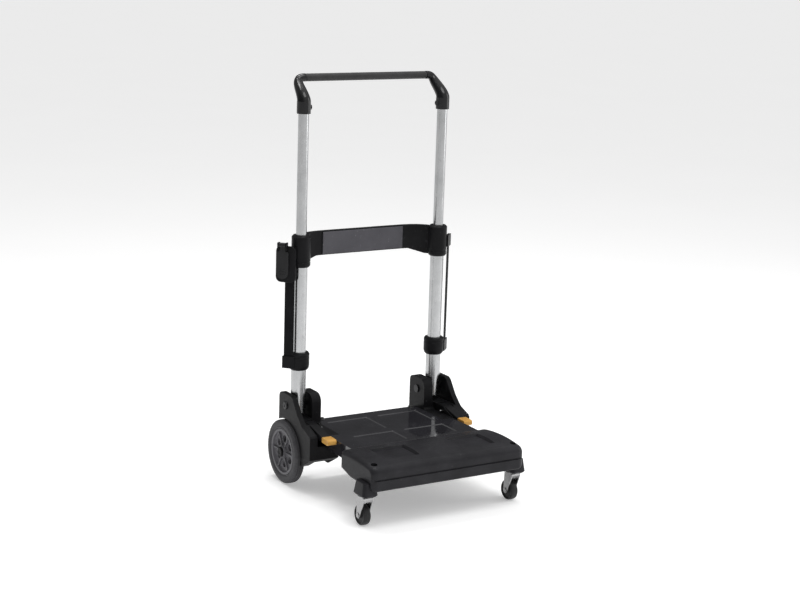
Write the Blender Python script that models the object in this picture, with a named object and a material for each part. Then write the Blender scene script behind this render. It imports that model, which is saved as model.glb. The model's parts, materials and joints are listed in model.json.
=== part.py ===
"""Folding platform cart: a moulded deck on two rear wheels and two front casters, with a telescopic
push handle on a mast that folds forward onto the deck.

+Z is up with the floor at zero, +X is the cart's right-hand side and -Y its front, where the casters are.
"""

import math

import bmesh
import bpy
from mathutils import Matrix, Vector
from mathutils.geometry import interpolate_bezier

MM = 0.001
GAP = 0.3 * MM  # left between pieces that touch
RUNNING_FIT = 0.3 * MM  # between a bore and the pin that turns in it
SIDES = (("left", -1), ("right", 1))
SKIN = 4 * MM  # wall of the mouldings, and how far a cutter runs past what it cuts
SHARP_FROM = math.radians(32)
SAME_POINT = 0.001 * MM

# Rear wheels.
WHEEL_R = 80 * MM
WHEEL_WIDTH = 27 * MM
TREAD_CROWN = ((0.88, 1.0), (0.955, 0.8), (0.99, 0.42))  # shares of the radius and of half the width
RIM_R = 58 * MM
RIM_THICK = 6 * MM
RIM_FILLET = 3 * MM
RIM_RECESS = 2 * MM
AXLE_R = 6 * MM
HUB_BOSS_R = 15 * MM
HUB_DRAFT = 1.5 * MM
HUB_WEB = 5 * MM
HUB_HOLE_R = 9 * MM
HUB_HOLES = 6
ARCH_SIDE = 1 * MM
ARCH_CLEARANCE = 3 * MM
ARCH_ROOF = 5 * MM
CAP_R = 13 * MM
CAP_RIM = 2 * MM
CAP_TAPER = 3 * MM
CAP_OVER_AXLE = 2 * MM
AXLE_PAST_WHEEL = 3 * MM

# Uprights: each is a lower tube, a middle tube fixed in it and an upper tube that slides.
TUBE_X = 196 * MM
MAST_Y = 150 * MM
LOWER_R = 19 * MM
LOWER_WALL = 1.6 * MM
LOWER_TOP = 326 * MM
FIXED_FIT = 0.4 * MM
MIDDLE_R = LOWER_R - LOWER_WALL - FIXED_FIT
MIDDLE_WALL = 2 * MM
MIDDLE_TOP = 619 * MM
MIDDLE_BORE = MIDDLE_R - MIDDLE_WALL
SLIDE_FIT = 2 * MM
UPPER_R = MIDDLE_BORE - SLIDE_FIT
UPPER_WALL = 1.6 * MM
UPPER_ENGAGED = 109 * MM

# Fold pivot: the uprights' feet turn inside a slot whose floor clears them.
SWING_R = LOWER_R + 8.2 * MM
SWING_CLEARANCE = 2.8 * MM
SLOT_FLOOR = 2 * WHEEL_R + ARCH_CLEARANCE + ARCH_ROOF
PIVOT_Z = SLOT_FLOOR + SWING_R + SWING_CLEARANCE
TUBE_FOOT = PIVOT_Z - math.sqrt(SWING_R**2 - LOWER_R**2)
PIN_R = 6 * MM
BLOCK_TOP = PIVOT_Z + 14 * MM
MIDDLE_ABOVE_BLOCK = 3 * MM
PIN_HEAD_R = 10 * MM
PIN_HEAD = 3 * MM
PIN_HEAD_CHAMFER = 1 * MM

# Handle.
BAR_Z = 1000 * MM
LEG_BOTTOM = BAR_Z - 81 * MM
BAR_BACK = 45 * MM
BAR_R = 9.5 * MM
BAR_HALF = TUBE_X - 25 * MM
LEG_R = UPPER_R + 4 * MM
LEG_STRAIGHT = 28 * MM
TUBE_IN_LEG = 31 * MM
CORNER_LIP = 0.5 * MM  # by which the corner stands proud of the bar
CORNER_SIDES = 18
KNEE_IN = 4 * MM
KNEE_SHARE = 0.82
KNEE_BELOW_BAR = 14 * MM
KNEE_LEAN = (2 * MM, 9 * MM, 10 * MM)
LEG_PULL = 12 * MM
BAR_PULL = 16 * MM
CORNER_SPANS = 6
CORNER_TAPER = 1.5
BUTTON_R = 7 * MM
BUTTON_PROUD = 3 * MM
BUTTON_TRAVEL = 2.2 * MM
BUTTON_ABOVE_LEG_BOTTOM = 15 * MM
BUTTON_ROUND = 1.5 * MM

# Lock plug at the foot of each upper tube.
LOCK_FLANGE = 12 * MM
LOCK_SPIGOT = 24 * MM
LOCK_PIN_R = 3 * MM
LOCK_PIN_LENGTH = 9.5 * MM
LOCK_PIN_TRAVEL = 2.5 * MM

# Crossbar between the uprights, and the clamps that hold it.
CLAMP_R = MIDDLE_R + 6.5 * MM
CLAMP_BOTTOM = MIDDLE_TOP - 73 * MM
CLAMP_LID = 5 * MM
CLAMP_FOOT = (3 * MM, 4 * MM)
CLAMP_SHOULDER = (4 * MM, 5 * MM)
CLAMP_LUG_ABOVE_FOOT = 22 * MM
BAR_BOTTOM = MIDDLE_TOP - 58 * MM
BAR_TOP = MIDDLE_TOP + 2 * MM
BAR_THICK = 13 * MM
BAR_BOW = 48 * MM
BAR_SPANS = 20
BOW_POWER = 8
SPOT_POWER = 0.7
GUSSET_DROP = 13 * MM
GUSSET_START = TUBE_X - 64 * MM
PLATE_HALF = TUBE_X - 81 * MM
PLATE_THICK = 3 * MM
PLATE_MARGIN = 2 * MM
PLATE_SPANS = 10

# Collars, straps and the buckle beside the uprights.
COLLAR_R = LOWER_R + 7 * MM
COLLAR_BOTTOM = LOWER_TOP - 38 * MM
COLLAR_TOP = LOWER_TOP + 6 * MM
COLLAR_CONE = ((5 * MM, 0), (1.5 * MM, 4 * MM), (0, 11 * MM))  # how far inside its radius, and how high up
COLLAR_SHOULDER = (3 * MM, 4 * MM)
COLLAR_LUG_ABOVE_FOOT = 6 * MM
STRAP_WIDTH = 25 * MM
STRAP_THICK = 2 * MM
STRAP_EDGE_OUT = COLLAR_R - 4.34 * MM  # where the strap's inner edge stands from the upright's axis
STRAP_EDGE_FRONT = 11.84 * MM
STRAP_TURN = math.radians(45)
STRAP_HELD = 14 * MM
LUG_WALL = 2.8 * MM
LUG_HEIGHT = 30 * MM
LUG_EDGE = 1.5 * MM
BUCKLE_HEIGHT = 90 * MM
BUCKLE_WIDTH = STRAP_WIDTH + 25 * MM
BUCKLE_CORNER = 13 * MM
BUCKLE_PLATE = 4.5 * MM
BUCKLE_ABOVE_LUG = 2 * MM
BUCKLE_SHIFT = 9 * MM
BUCKLE_LOOP_LOW = 6 * MM
BUCKLE_LOOP = 26 * MM
LEVER_SHIFT = BUCKLE_SHIFT + 7 * MM
BARREL_R = 6 * MM
BARREL_LENGTH = 16 * MM
BARREL_ABOVE_PLATE = 3 * MM
BARREL_PIN_R = 2 * MM
EAR_THICK = 3.5 * MM
EAR_WALL = 2 * MM
EAR_DEPTH = 14 * MM
LEVER_LENGTH = 84 * MM
LEVER_WIDTH = 30 * MM
LEVER_THICK = 5 * MM
LEVER_NECK_INSET = 0.5 * MM
LEVER_NECK_TOP = 2 * MM
LEVER_SHOULDER = 16 * MM
LEVER_SHOULDER_FALL = 5 * MM

# Deck.
DECK_TOP = 150 * MM
DECK_BOTTOM = DECK_TOP - 36 * MM
DECK_REAR = MAST_Y + 6 * MM
DECK_HALF = TUBE_X - 16 * MM
DECK_EDGE = 2.5 * MM
POCKET_DEPTH = 2.5 * MM
POCKET_EDGE = 1.2 * MM
POCKET_INNER = 16 * MM
BUMPER_R = 6 * MM
BUMPER_FLARE = 2 * MM
BUMPER_FLARE_HEIGHT = 3 * MM
BUMPER_HEIGHT = 6 * MM
BUMPER_INSET = 4 * MM

# Hinge housings beside the deck.
CHEEK_INNER = TUBE_X - 46 * MM
CHEEK_OUTER = TUBE_X + 34 * MM
CHEEK_TOP = PIVOT_Z + 30 * MM
CHEEK_REAR_ROUND = 14 * MM
CHEEK_FRONT_ROUND = 20 * MM
CHEEK_FRONT = MAST_Y - 22 * MM
INNER_CHEEK_FRONT = MAST_Y - 36 * MM
INNER_CHEEK_ROUND = 22 * MM
INNER_CHEEK_FOOT = 8 * MM
SLOT_FIT = 1.5 * MM
HOUSING_REAR = MAST_Y + 36 * MM
HOUSING_FRONT = MAST_Y - 130 * MM
HOUSING_BOTTOM = WHEEL_R - 16 * MM
HOUSING_WALL = 5 * MM
HOUSING_ROOF = 7 * MM
HOUSING_EDGE = 2 * MM
CHEEK_KNEE = (-62 * MM, -10 * MM)  # from the pivot
CHEEK_FOOT = (-88 * MM, 15 * MM)  # from the uprights, and above the deck
CHIN = (4 * MM, 3 * MM)
FRONT_DEPTH = 58 * MM
FLOOR_REACH = 84 * MM
WHEEL_X = CHEEK_OUTER - 3 * MM
ARCH_INNER = WHEEL_X - WHEEL_WIDTH / 2 - ARCH_SIDE
POCKET_OUTER = CHEEK_INNER - 22 * MM
REAR_POCKET = (HOUSING_FRONT, DECK_REAR - 36 * MM)
BUMPER_X = CHEEK_INNER - 20 * MM

# Fold release levers in front of the uprights.
PEDAL_X = TUBE_X - 1 * MM
PEDAL_WIDTH = 24 * MM
PEDAL_FIT = 1.5 * MM
PEDAL_FLOOR = DECK_TOP - 25 * MM
PEDAL_WELL_PAST_HEEL = 6 * MM
PEDAL_PIN_Y = MAST_Y - 80 * MM
PEDAL_PIN_Z = DECK_TOP + 6 * MM
PEDAL_PIN_R = 3 * MM
PEDAL_PIN_PAST = 12 * MM
PEDAL_PIN_INNER = PEDAL_X - PEDAL_WIDTH / 2 - PEDAL_PIN_PAST
PEDAL_TIP = PEDAL_PIN_Y - 98 * MM
PEDAL_HEEL = MAST_Y - 52 * MM
PEDAL_THICK = 10 * MM
PEDAL_EDGE = 2 * MM
PEDAL_NECK = 10 * MM
PEDAL_CREST = (6 * MM, 13 * MM)
PEDAL_BELOW_PIN = 8 * MM
PEDAL_BELLY = 20 * MM
PEDAL_ABOVE_DECK = 4 * MM
PEDAL_PAD = 34 * MM
PEDAL_NOSE = 18 * MM
PEDAL_TIP_ROUND = 3 * MM

# Front beam.
BEAM_REAR = HOUSING_FRONT - 115 * MM
BEAM_FRONT = BEAM_REAR - 156 * MM
BEAM_HALF = TUBE_X + 15 * MM
BEAM_BOTTOM = DECK_TOP - 59 * MM
BEAM_CROWN = 6 * MM
BEAM_CROWN_SPANS = 8
BEAM_CROWN_POWER = 0.8
BEAM_NOSE = 16 * MM
BEAM_TOE = 6 * MM
BEAM_KEEL = (45 * MM, 4 * MM)
BEAM_HEEL = 17 * MM
BEAM_ENDS = ((0, 10 * MM), (3 * MM, 4 * MM), (9 * MM, 1 * MM), (16 * MM, 0))  # inset from the end, shrink
GROOVE_LOW = DECK_TOP - 33 * MM
GROOVE_HEIGHT = 5 * MM
FOOT_DEPTH = 1 * MM
FOOT_INNER = 62 * MM
FOOT_OUTER = BEAM_HALF - 61 * MM
FOOT_SPAN = (BEAM_FRONT + 43 * MM, BEAM_REAR - 39 * MM)
CORNER_HOLE_R = 8 * MM
CORNER_HOLE_DEPTH = 16 * MM
CORNER_HOLE_INSET = (17 * MM, 25 * MM)
FRONT_POCKET = (BEAM_REAR + 15 * MM, HOUSING_FRONT - 30 * MM)

# Casters.
CASTER_X = BEAM_HALF - 4 * MM
CASTER_Y = BEAM_FRONT + 38 * MM
CASTER_TRAIL = 11 * MM
CASTER_R = 25 * MM
CASTER_WIDTH = 19 * MM
CASTER_PROFILE = ((0.5, 1.0), (0.55, 0.75), (0.8, 0.75), (0.86, 1.0), (0.97, 0.8), (1.0, 0.4))
POD_BOTTOM = 2 * CASTER_R + 26 * MM
POD_HALF_X = 19.5 * MM
POD_HALF_Y = 27 * MM
POD_CORNER = 10 * MM
POD_GROWTH = ((0, -2 * MM), (4 * MM, 1 * MM), (34 * MM, -3 * MM))  # height above its bottom, growth
FORK_STEEL = 2.2 * MM
FORK_CLEARANCE = 1.2 * MM
FORK_REACH = 8 * MM
FORK_HEEL = 3 * MM
FORK_CROWN = (15 * MM, 17 * MM)  # ahead of and behind the swivel axis
FORK_EDGE = 1 * MM
STEM_PLATE = 3 * MM
STEM_PLATE_R = 18 * MM
STEM_TUCK = 0.5 * MM
STEM_R = 4 * MM
STEM_PAST = 2 * MM
BEARING_GAP = 1 * MM
CASTER_AXLE_R = 3.5 * MM
CASTER_AXLE_HEAD_R = 6 * MM
CASTER_AXLE_HEAD = 1.5 * MM


# ---------------------------------------------------------------- tools


def clear_scene():
    for obj in list(bpy.data.objects):
        bpy.data.objects.remove(obj, do_unlink=True)


def material(name, colour, roughness, metallic=0.0):
    """One Principled material for each name, made once."""
    found = bpy.data.materials.get(name)
    if found:
        return found
    made = bpy.data.materials.new(name)
    made.use_nodes = True
    shader = made.node_tree.nodes["Principled BSDF"]
    shader.inputs["Base Color"].default_value = (*colour, 1.0)
    shader.inputs["Roughness"].default_value = roughness
    shader.inputs["Metallic"].default_value = metallic
    return made


def black_plastic():
    return material("black_plastic", (0.018, 0.018, 0.02), 0.42)


def grey_plastic():
    return material("grey_plastic", (0.13, 0.125, 0.14), 0.5)


def orange_plastic():
    return material("orange_plastic", (0.85, 0.3, 0.02), 0.38)


def grip_rubber():
    return material("grip_rubber", (0.015, 0.015, 0.016), 0.6)


def tyre_rubber():
    return material("tyre_rubber", (0.03, 0.03, 0.032), 0.75)


def hub_plastic():
    return material("hub_plastic", (0.2, 0.2, 0.21), 0.5)


def webbing():
    return material("webbing", (0.012, 0.012, 0.013), 0.85)


def aluminium():
    return material("aluminium", (0.78, 0.79, 0.8), 0.28, 1.0)


def steel():
    return material("steel", (0.6, 0.61, 0.62), 0.3, 1.0)


def add_object(name, bm, mat, origin=(0, 0, 0)):
    """Turns a bmesh drawn in world places into an object with its origin at the given point."""
    bmesh.ops.recalc_face_normals(bm, faces=bm.faces)
    bmesh.ops.translate(bm, verts=bm.verts, vec=-Vector(origin))
    mesh = bpy.data.meshes.new(name)
    bm.to_mesh(mesh)
    bm.free()
    mesh.shade_smooth()
    mesh.set_sharp_from_angle(angle=SHARP_FROM)
    mesh.materials.append(mat)
    obj = bpy.data.objects.new(name, mesh)
    obj.location = origin
    bpy.context.scene.collection.objects.link(obj)
    return obj


def helper(name, bm):
    """A cutter, or a lump that is joined on: it isn't rendered."""
    obj = add_object(name, bm, black_plastic())
    obj.hide_render = True
    obj.display_type = "WIRE"
    return obj


def combine(obj, other, operation):
    modifier = obj.modifiers.new(other.name, "BOOLEAN")
    modifier.operation = operation
    modifier.solver = "EXACT"
    modifier.object = other


def cut(obj, *cutters):
    for cutter in cutters:
        combine(obj, cutter, "DIFFERENCE")


def join(obj, *lumps):
    for lump in lumps:
        combine(obj, lump, "UNION")


def bevel(obj, width, segments=2, angle=40):
    modifier = obj.modifiers.new("bevel", "BEVEL")
    modifier.width = width
    modifier.segments = segments
    modifier.limit_method = "ANGLE"
    modifier.angle_limit = math.radians(angle)


def skin(rings):
    """A closed body through rings of equally many points, with a face across each end."""
    bm = bmesh.new()
    rows = [[bm.verts.new(point) for point in ring] for ring in rings]
    for low, high in zip(rows, rows[1:]):
        for i in range(len(low)):
            j = (i + 1) % len(low)
            bm.faces.new((low[i], low[j], high[j], high[i]))
    bm.faces.new(rows[0])
    bm.faces.new(rows[-1])
    return bm


def box(low, high):
    corners = ((low[0], low[1]), (high[0], low[1]), (high[0], high[1]), (low[0], high[1]))
    return skin([[(x, y, z) for x, y in corners] for z in (low[2], high[2])])


def side_box(side, x, y, z):
    """A box on one side of the middle plane, from (low, high) pairs; x counts away from that plane."""
    near, far = sorted((side * x[0], side * x[1]))
    return box((near, y[0], z[0]), (far, y[1], z[1]))


def side_prism(side, near, far, outline):
    """A (y, z) outline extruded between two distances from the middle plane."""
    return skin([[(side * x, y, z) for y, z in outline] for x in (near, far)])


def lathe(profile, centre, axis="Z", steps=24):
    """Spins an outline of (radius, height) points; one that starts and ends on the axis stays open."""
    bm = bmesh.new()
    verts = [bm.verts.new((radius, 0, height)) for radius, height in profile]
    closed = not (profile[0][0] == 0 and profile[-1][0] == 0)
    ends = verts[1:] + verts[:1] if closed else verts[1:]
    edges = [bm.edges.new(pair) for pair in zip(verts, ends)]
    bmesh.ops.spin(
        bm,
        geom=verts + edges,
        cent=(0, 0, 0),
        axis=(0, 0, 1),
        angle=math.tau,
        steps=steps,
        use_merge=True,
    )
    bmesh.ops.remove_doubles(bm, verts=bm.verts, dist=SAME_POINT)
    if axis == "X":
        bmesh.ops.rotate(bm, verts=bm.verts, matrix=Matrix.Rotation(math.pi / 2, 3, "Y"))
    bmesh.ops.translate(bm, verts=bm.verts, vec=centre)
    return bm


def turned_along(profile, place, axis, steps=12):
    """A lathe body whose axis points along any direction."""
    bm = lathe(profile, (0, 0, 0), "Z", steps)
    turn = Vector((0, 0, 1)).rotation_difference(axis).to_matrix()
    bmesh.ops.rotate(bm, verts=bm.verts, matrix=turn)
    bmesh.ops.translate(bm, verts=bm.verts, vec=place)
    return bm


def rod(radius, low, high):
    """Outline of a solid bar for lathe."""
    return [(0, low), (radius, low), (radius, high), (0, high)]


def pipe(outer, inner, low, high):
    """Outline of a tube for lathe."""
    return [(inner, low), (outer, low), (outer, high), (inner, high)]


def mirrored(side, profile):
    """The outline with its heights along +X on the right-hand side and along -X on the left."""
    return [(radius, side * height) for radius, height in profile]


def both_ends(profile):
    """A half outline followed by its mirror image, for a piece whose two ends are alike."""
    return profile + [(radius, -height) for radius, height in reversed(profile)]


def arc(centre, radius, start, end, steps):
    """Points along an arc in a plane, in degrees."""
    turns = [math.radians(start + (end - start) * i / steps) for i in range(steps + 1)]
    return [(centre[0] + radius * math.cos(t), centre[1] + radius * math.sin(t)) for t in turns]


def rounded_rectangle(centre, half_wide, half_high, corner):
    points = []
    for quarter, (across, up) in enumerate(((1, 1), (-1, 1), (-1, -1), (1, -1))):
        middle = (centre[0] + across * (half_wide - corner), centre[1] + up * (half_high - corner))
        points += arc(middle, corner, 90 * quarter, 90 * quarter + 90, 4)
    return points


# ---------------------------------------------------------------- deck and front beam


def deck():
    rear_half = CHEEK_INNER - GAP
    step = HOUSING_FRONT - GAP
    front = BEAM_REAR + GAP
    plan = [
        (-rear_half, DECK_REAR),
        (-rear_half, step),
        (-DECK_HALF, step),
        (-DECK_HALF, front),
        (DECK_HALF, front),
        (DECK_HALF, step),
        (rear_half, step),
        (rear_half, DECK_REAR),
    ]
    slab = skin([[(x, y, z) for x, y in plan] for z in (DECK_BOTTOM, DECK_TOP)])
    obj = add_object("deck", slab, black_plastic())
    bevel(obj, DECK_EDGE)
    pocket_floor = DECK_TOP - POCKET_DEPTH
    under = (DECK_BOTTOM - SKIN, pocket_floor - SKIN)
    for name, side in SIDES:
        rear = side_box(side, (SKIN / 2, rear_half - SKIN), (step + SKIN, DECK_REAR - SKIN), under)
        middle = side_box(side, (SKIN / 2, DECK_HALF - SKIN), (front + SKIN, step - SKIN), under)
        cut(obj, helper(f"cut_deck_rear_{name}", rear), helper(f"cut_deck_middle_{name}", middle))
        for row, span in (("rear", REAR_POCKET), ("front", FRONT_POCKET)):
            pocket = side_box(side, (POCKET_INNER, POCKET_OUTER), span, (pocket_floor, DECK_TOP + SKIN))
            lump = helper(f"cut_pocket_{row}_{name}", pocket)
            bevel(lump, POCKET_EDGE, 1)
            cut(obj, lump)


def beam_outline():
    """Side outline of the front beam as (y, z) points, from its rear edge over the top and back below."""
    span = BEAM_REAR - (BEAM_FRONT + BEAM_NOSE)
    top = []
    for i in range(BEAM_CROWN_SPANS):
        share = i / BEAM_CROWN_SPANS
        rise = BEAM_CROWN * math.sin(math.pi * share) ** BEAM_CROWN_POWER
        top.append((BEAM_REAR - span * share, DECK_TOP + rise))
    front = arc((BEAM_FRONT + BEAM_NOSE, DECK_TOP - BEAM_NOSE), BEAM_NOSE, 90, 180, 5)
    toe = arc((BEAM_FRONT + BEAM_TOE, BEAM_BOTTOM + BEAM_TOE), BEAM_TOE, 180, 270, 2)
    keel = (BEAM_REAR - BEAM_KEEL[0], BEAM_BOTTOM + BEAM_KEEL[1])
    return top + front + toe + [keel, (BEAM_REAR, BEAM_BOTTOM + BEAM_HEEL)]


def beam_rings():
    """Rings of the front beam from end to end: the outline shrinks towards both ends, which rounds them."""
    outline = beam_outline()
    middle_y = (BEAM_FRONT + BEAM_REAR) / 2
    middle_z = (BEAM_BOTTOM + DECK_TOP) / 2
    half = []
    for inset, shrink in BEAM_ENDS:
        along = 1 - shrink / (middle_y - BEAM_FRONT)
        up = 1 - shrink / (DECK_TOP - middle_z)
        ring = [(middle_y + (y - middle_y) * along, middle_z + (z - middle_z) * up) for y, z in outline]
        half.append((BEAM_HALF - inset, ring))
    stations = [(-x, ring) for x, ring in half] + list(reversed(half))
    return [[(x, y, z) for y, z in ring] for x, ring in stations]


def front_beam():
    obj = add_object("front_beam", skin(beam_rings()), black_plastic())
    hollow_y = (BEAM_FRONT + BEAM_NOSE, BEAM_REAR - 2 * SKIN)
    hollow_z = (POD_BOTTOM - SKIN, DECK_TOP - BEAM_NOSE)
    for name, side in SIDES:
        join(obj, caster_pod(name, side))
        hollow = side_box(side, (SKIN, CASTER_X - POD_HALF_X - SKIN), hollow_y, hollow_z)
        foot_z = (DECK_TOP - FOOT_DEPTH, DECK_TOP + 4 * SKIN)
        foot = side_box(side, (FOOT_INNER, FOOT_OUTER), FOOT_SPAN, foot_z)
        spot = (side * (BEAM_HALF - CORNER_HOLE_INSET[0]), BEAM_FRONT + CORNER_HOLE_INSET[1], 0)
        corner = lathe(rod(CORNER_HOLE_R, DECK_TOP - CORNER_HOLE_DEPTH, DECK_TOP + 4 * SKIN), spot, steps=16)
        cut(
            obj,
            helper(f"cut_beam_hollow_{name}", hollow),
            helper(f"cut_beam_foot_{name}", foot),
            helper(f"cut_beam_corner_{name}", corner),
        )
    reach = BEAM_HALF + SKIN
    groove = box(
        (-reach, BEAM_FRONT - SKIN, GROOVE_LOW), (reach, BEAM_FRONT + SKIN, GROOVE_LOW + GROOVE_HEIGHT)
    )
    cut(obj, helper("cut_beam_groove", groove))


def caster_pod(name, side):
    """The lump under each end of the beam that the caster's plate sits against."""
    rings = []
    for height, grow in POD_GROWTH:
        half_x = POD_HALF_X + grow
        half_y = POD_HALF_Y + grow
        flat = rounded_rectangle((side * CASTER_X, CASTER_Y), half_x, half_y, POD_CORNER)
        rings.append([(x, y, POD_BOTTOM + height) for x, y in flat])
    return helper(f"pod_{name}", skin(rings))


def rest_bumper(name, side):
    """Rubber stop on the deck's rear corner for the folded mast."""
    low = DECK_TOP + GAP
    high = low + BUMPER_HEIGHT
    profile = [
        (0, low),
        (BUMPER_R + BUMPER_FLARE, low),
        (BUMPER_R, low + BUMPER_FLARE_HEIGHT),
        (BUMPER_R, high - BUMPER_FLARE),
        (BUMPER_R - BUMPER_FLARE, high),
        (0, high),
    ]
    place = (side * BUMPER_X, DECK_REAR - BUMPER_R - BUMPER_INSET, 0)
    add_object(f"rest_bumper_{name}", lathe(profile, place, steps=20), grip_rubber(), place)


# ---------------------------------------------------------------- hinge housings


def housing_outline():
    """Side outline of a hinge housing as (y, z) points, from its rear foot over the cheek."""
    rear_centre = (HOUSING_REAR - CHEEK_REAR_ROUND, CHEEK_TOP - CHEEK_REAR_ROUND)
    front_centre = (CHEEK_FRONT, CHEEK_TOP - CHEEK_FRONT_ROUND)
    chin = HOUSING_FRONT + CHIN[0]
    return [
        (HOUSING_REAR, HOUSING_BOTTOM),
        *arc(rear_centre, CHEEK_REAR_ROUND, 0, 90, 4),
        *arc(front_centre, CHEEK_FRONT_ROUND, 90, 145, 4),
        (MAST_Y + CHEEK_KNEE[0], PIVOT_Z + CHEEK_KNEE[1]),
        (MAST_Y + CHEEK_FOOT[0], DECK_TOP + CHEEK_FOOT[1]),
        (chin, DECK_TOP + HOUSING_EDGE),
        (HOUSING_FRONT, DECK_TOP - CHIN[1]),
        (HOUSING_FRONT, DECK_TOP - FRONT_DEPTH),
        (chin + CHIN[0], DECK_TOP - FRONT_DEPTH - CHIN[0] - HOUSING_EDGE),
        (MAST_Y - FLOOR_REACH, HOUSING_BOTTOM),
    ]


def hinge_housing(name, side, pivot_bore, axle_bore):
    body = side_prism(side, CHEEK_INNER, CHEEK_OUTER, housing_outline())
    obj = add_object(f"hinge_housing_{name}", body, black_plastic())
    bevel(obj, HOUSING_EDGE)
    arch = rod(WHEEL_R + ARCH_CLEARANCE, ARCH_INNER, CHEEK_OUTER + 3 * SKIN)
    slot_half = LOWER_R + SLOT_FIT
    well_half = PEDAL_WIDTH / 2 + PEDAL_FIT
    before = HOUSING_FRONT - SKIN
    slot = side_box(
        side,
        (TUBE_X - slot_half, TUBE_X + slot_half),
        (before, HOUSING_REAR + SKIN),
        (SLOT_FLOOR, CHEEK_TOP + 3 * SKIN),
    )
    pedal_well = side_box(
        side,
        (PEDAL_X - well_half, PEDAL_X + well_half),
        (before, PEDAL_HEEL + PEDAL_WELL_PAST_HEEL),
        (PEDAL_FLOOR, SLOT_FLOOR + SKIN),
    )
    hollow = side_box(
        side,
        (CHEEK_INNER + HOUSING_WALL, ARCH_INNER - HOUSING_WALL),
        (HOUSING_FRONT + 3 * HOUSING_WALL, HOUSING_REAR - HOUSING_WALL),
        (HOUSING_BOTTOM - SKIN, PEDAL_FLOOR - HOUSING_ROOF),
    )
    cheek_front = side_prism(side, CHEEK_INNER - SKIN, TUBE_X - slot_half + SKIN, cheek_front_outline())
    pin_bore = rod(PEDAL_PIN_R + RUNNING_FIT, PEDAL_PIN_INNER - GAP, ARCH_INNER + SKIN)
    pin_place = (0, PEDAL_PIN_Y, PEDAL_PIN_Z)
    cut(
        obj,
        helper(f"cut_arch_{name}", lathe(mirrored(side, arch), (0, MAST_Y, WHEEL_R), "X", 40)),
        helper(f"cut_slot_{name}", slot),
        helper(f"cut_pedal_well_{name}", pedal_well),
        helper(f"cut_hollow_{name}", hollow),
        helper(f"cut_pedal_pin_{name}", lathe(mirrored(side, pin_bore), pin_place, "X", 16)),
        helper(f"cut_cheek_{name}", cheek_front),
        pivot_bore,
        axle_bore,
    )


def cheek_front_outline():
    """What is cut from the front of the inner cheek, as (y, z) points, so that the deck stays clear."""
    shoulder_centre = (INNER_CHEEK_FRONT + INNER_CHEEK_ROUND, CHEEK_TOP - INNER_CHEEK_ROUND)
    foot_centre = (INNER_CHEEK_FRONT - INNER_CHEEK_FOOT, DECK_TOP + INNER_CHEEK_FOOT)
    before = HOUSING_FRONT - SKIN
    above = CHEEK_TOP + SKIN
    return [
        *arc(shoulder_centre, INNER_CHEEK_ROUND, 90, 180, 4),
        *arc(foot_centre, INNER_CHEEK_FOOT, 0, -90, 3),
        (before, DECK_TOP),
        (before, above),
        (shoulder_centre[0], above),
    ]


def pivot_pin(name, side):
    """Headed pin through both cheeks and the mast's foot."""
    inner = CHEEK_INNER - GAP
    outer = CHEEK_OUTER + GAP
    profile = [
        (0, inner - PIN_HEAD),
        (PIN_HEAD_R, inner - PIN_HEAD),
        (PIN_HEAD_R, inner),
        (PIN_R, inner),
        (PIN_R, outer),
        (PIN_HEAD_R, outer),
        (PIN_HEAD_R - PIN_HEAD_CHAMFER, outer + PIN_HEAD),
        (0, outer + PIN_HEAD),
    ]
    place = (0, MAST_Y, PIVOT_Z)
    add_object(f"pivot_pin_{name}", lathe(mirrored(side, profile), place, "X"), steel(), place)


def pedal_outline():
    """Side outline of a fold release lever as (y, z) points, from its heel to its tip and back."""
    top = DECK_TOP + PEDAL_ABOVE_DECK
    under = DECK_TOP - PEDAL_THICK
    bottom = PEDAL_PIN_Z - PEDAL_BELOW_PIN
    return [
        (PEDAL_HEEL, bottom + PEDAL_EDGE),
        (PEDAL_HEEL, PEDAL_PIN_Z + PEDAL_NECK),
        (PEDAL_HEEL - PEDAL_CREST[0], PEDAL_PIN_Z + PEDAL_CREST[1]),
        (PEDAL_PIN_Y - PEDAL_BELOW_PIN, PEDAL_PIN_Z + PEDAL_NECK),
        (PEDAL_TIP + PEDAL_PAD, top),
        (PEDAL_TIP + PEDAL_NOSE, top),
        (PEDAL_TIP + PEDAL_TIP_ROUND, DECK_TOP + PEDAL_TIP_ROUND / 3),
        (PEDAL_TIP, DECK_TOP - PEDAL_TIP_ROUND),
        (PEDAL_TIP + PEDAL_TIP_ROUND, under),
        (PEDAL_TIP + PEDAL_PAD, under + PEDAL_EDGE),
        (PEDAL_PIN_Y - PEDAL_BELLY, bottom),
    ]


def fold_pedal(name, side):
    """Orange lever in front of each upright: pressing its tip frees the fold."""
    half = PEDAL_WIDTH / 2
    place = (side * PEDAL_X, PEDAL_PIN_Y, PEDAL_PIN_Z)
    body = side_prism(side, PEDAL_X - half, PEDAL_X + half, pedal_outline())
    obj = add_object(f"fold_pedal_{name}", body, orange_plastic(), place)
    bevel(obj, PEDAL_EDGE)
    bore = lathe(rod(PEDAL_PIN_R + RUNNING_FIT, -PEDAL_WIDTH, PEDAL_WIDTH), place, "X", 16)
    cut(obj, helper(f"cut_pedal_bore_{name}", bore))


def pedal_pin(name, side):
    place = (0, PEDAL_PIN_Y, PEDAL_PIN_Z)
    shaft = mirrored(side, rod(PEDAL_PIN_R, PEDAL_PIN_INNER, ARCH_INNER - ARCH_SIDE))
    add_object(f"pedal_pin_{name}", lathe(shaft, place, "X", 16), steel(), place)


# ---------------------------------------------------------------- wheels


def rear_axle():
    end = WHEEL_X + WHEEL_WIDTH / 2 + AXLE_PAST_WHEEL
    place = (0, MAST_Y, WHEEL_R)
    add_object("rear_axle", lathe(rod(AXLE_R, -end, end), place, "X"), steel(), place)
    return end


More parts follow.
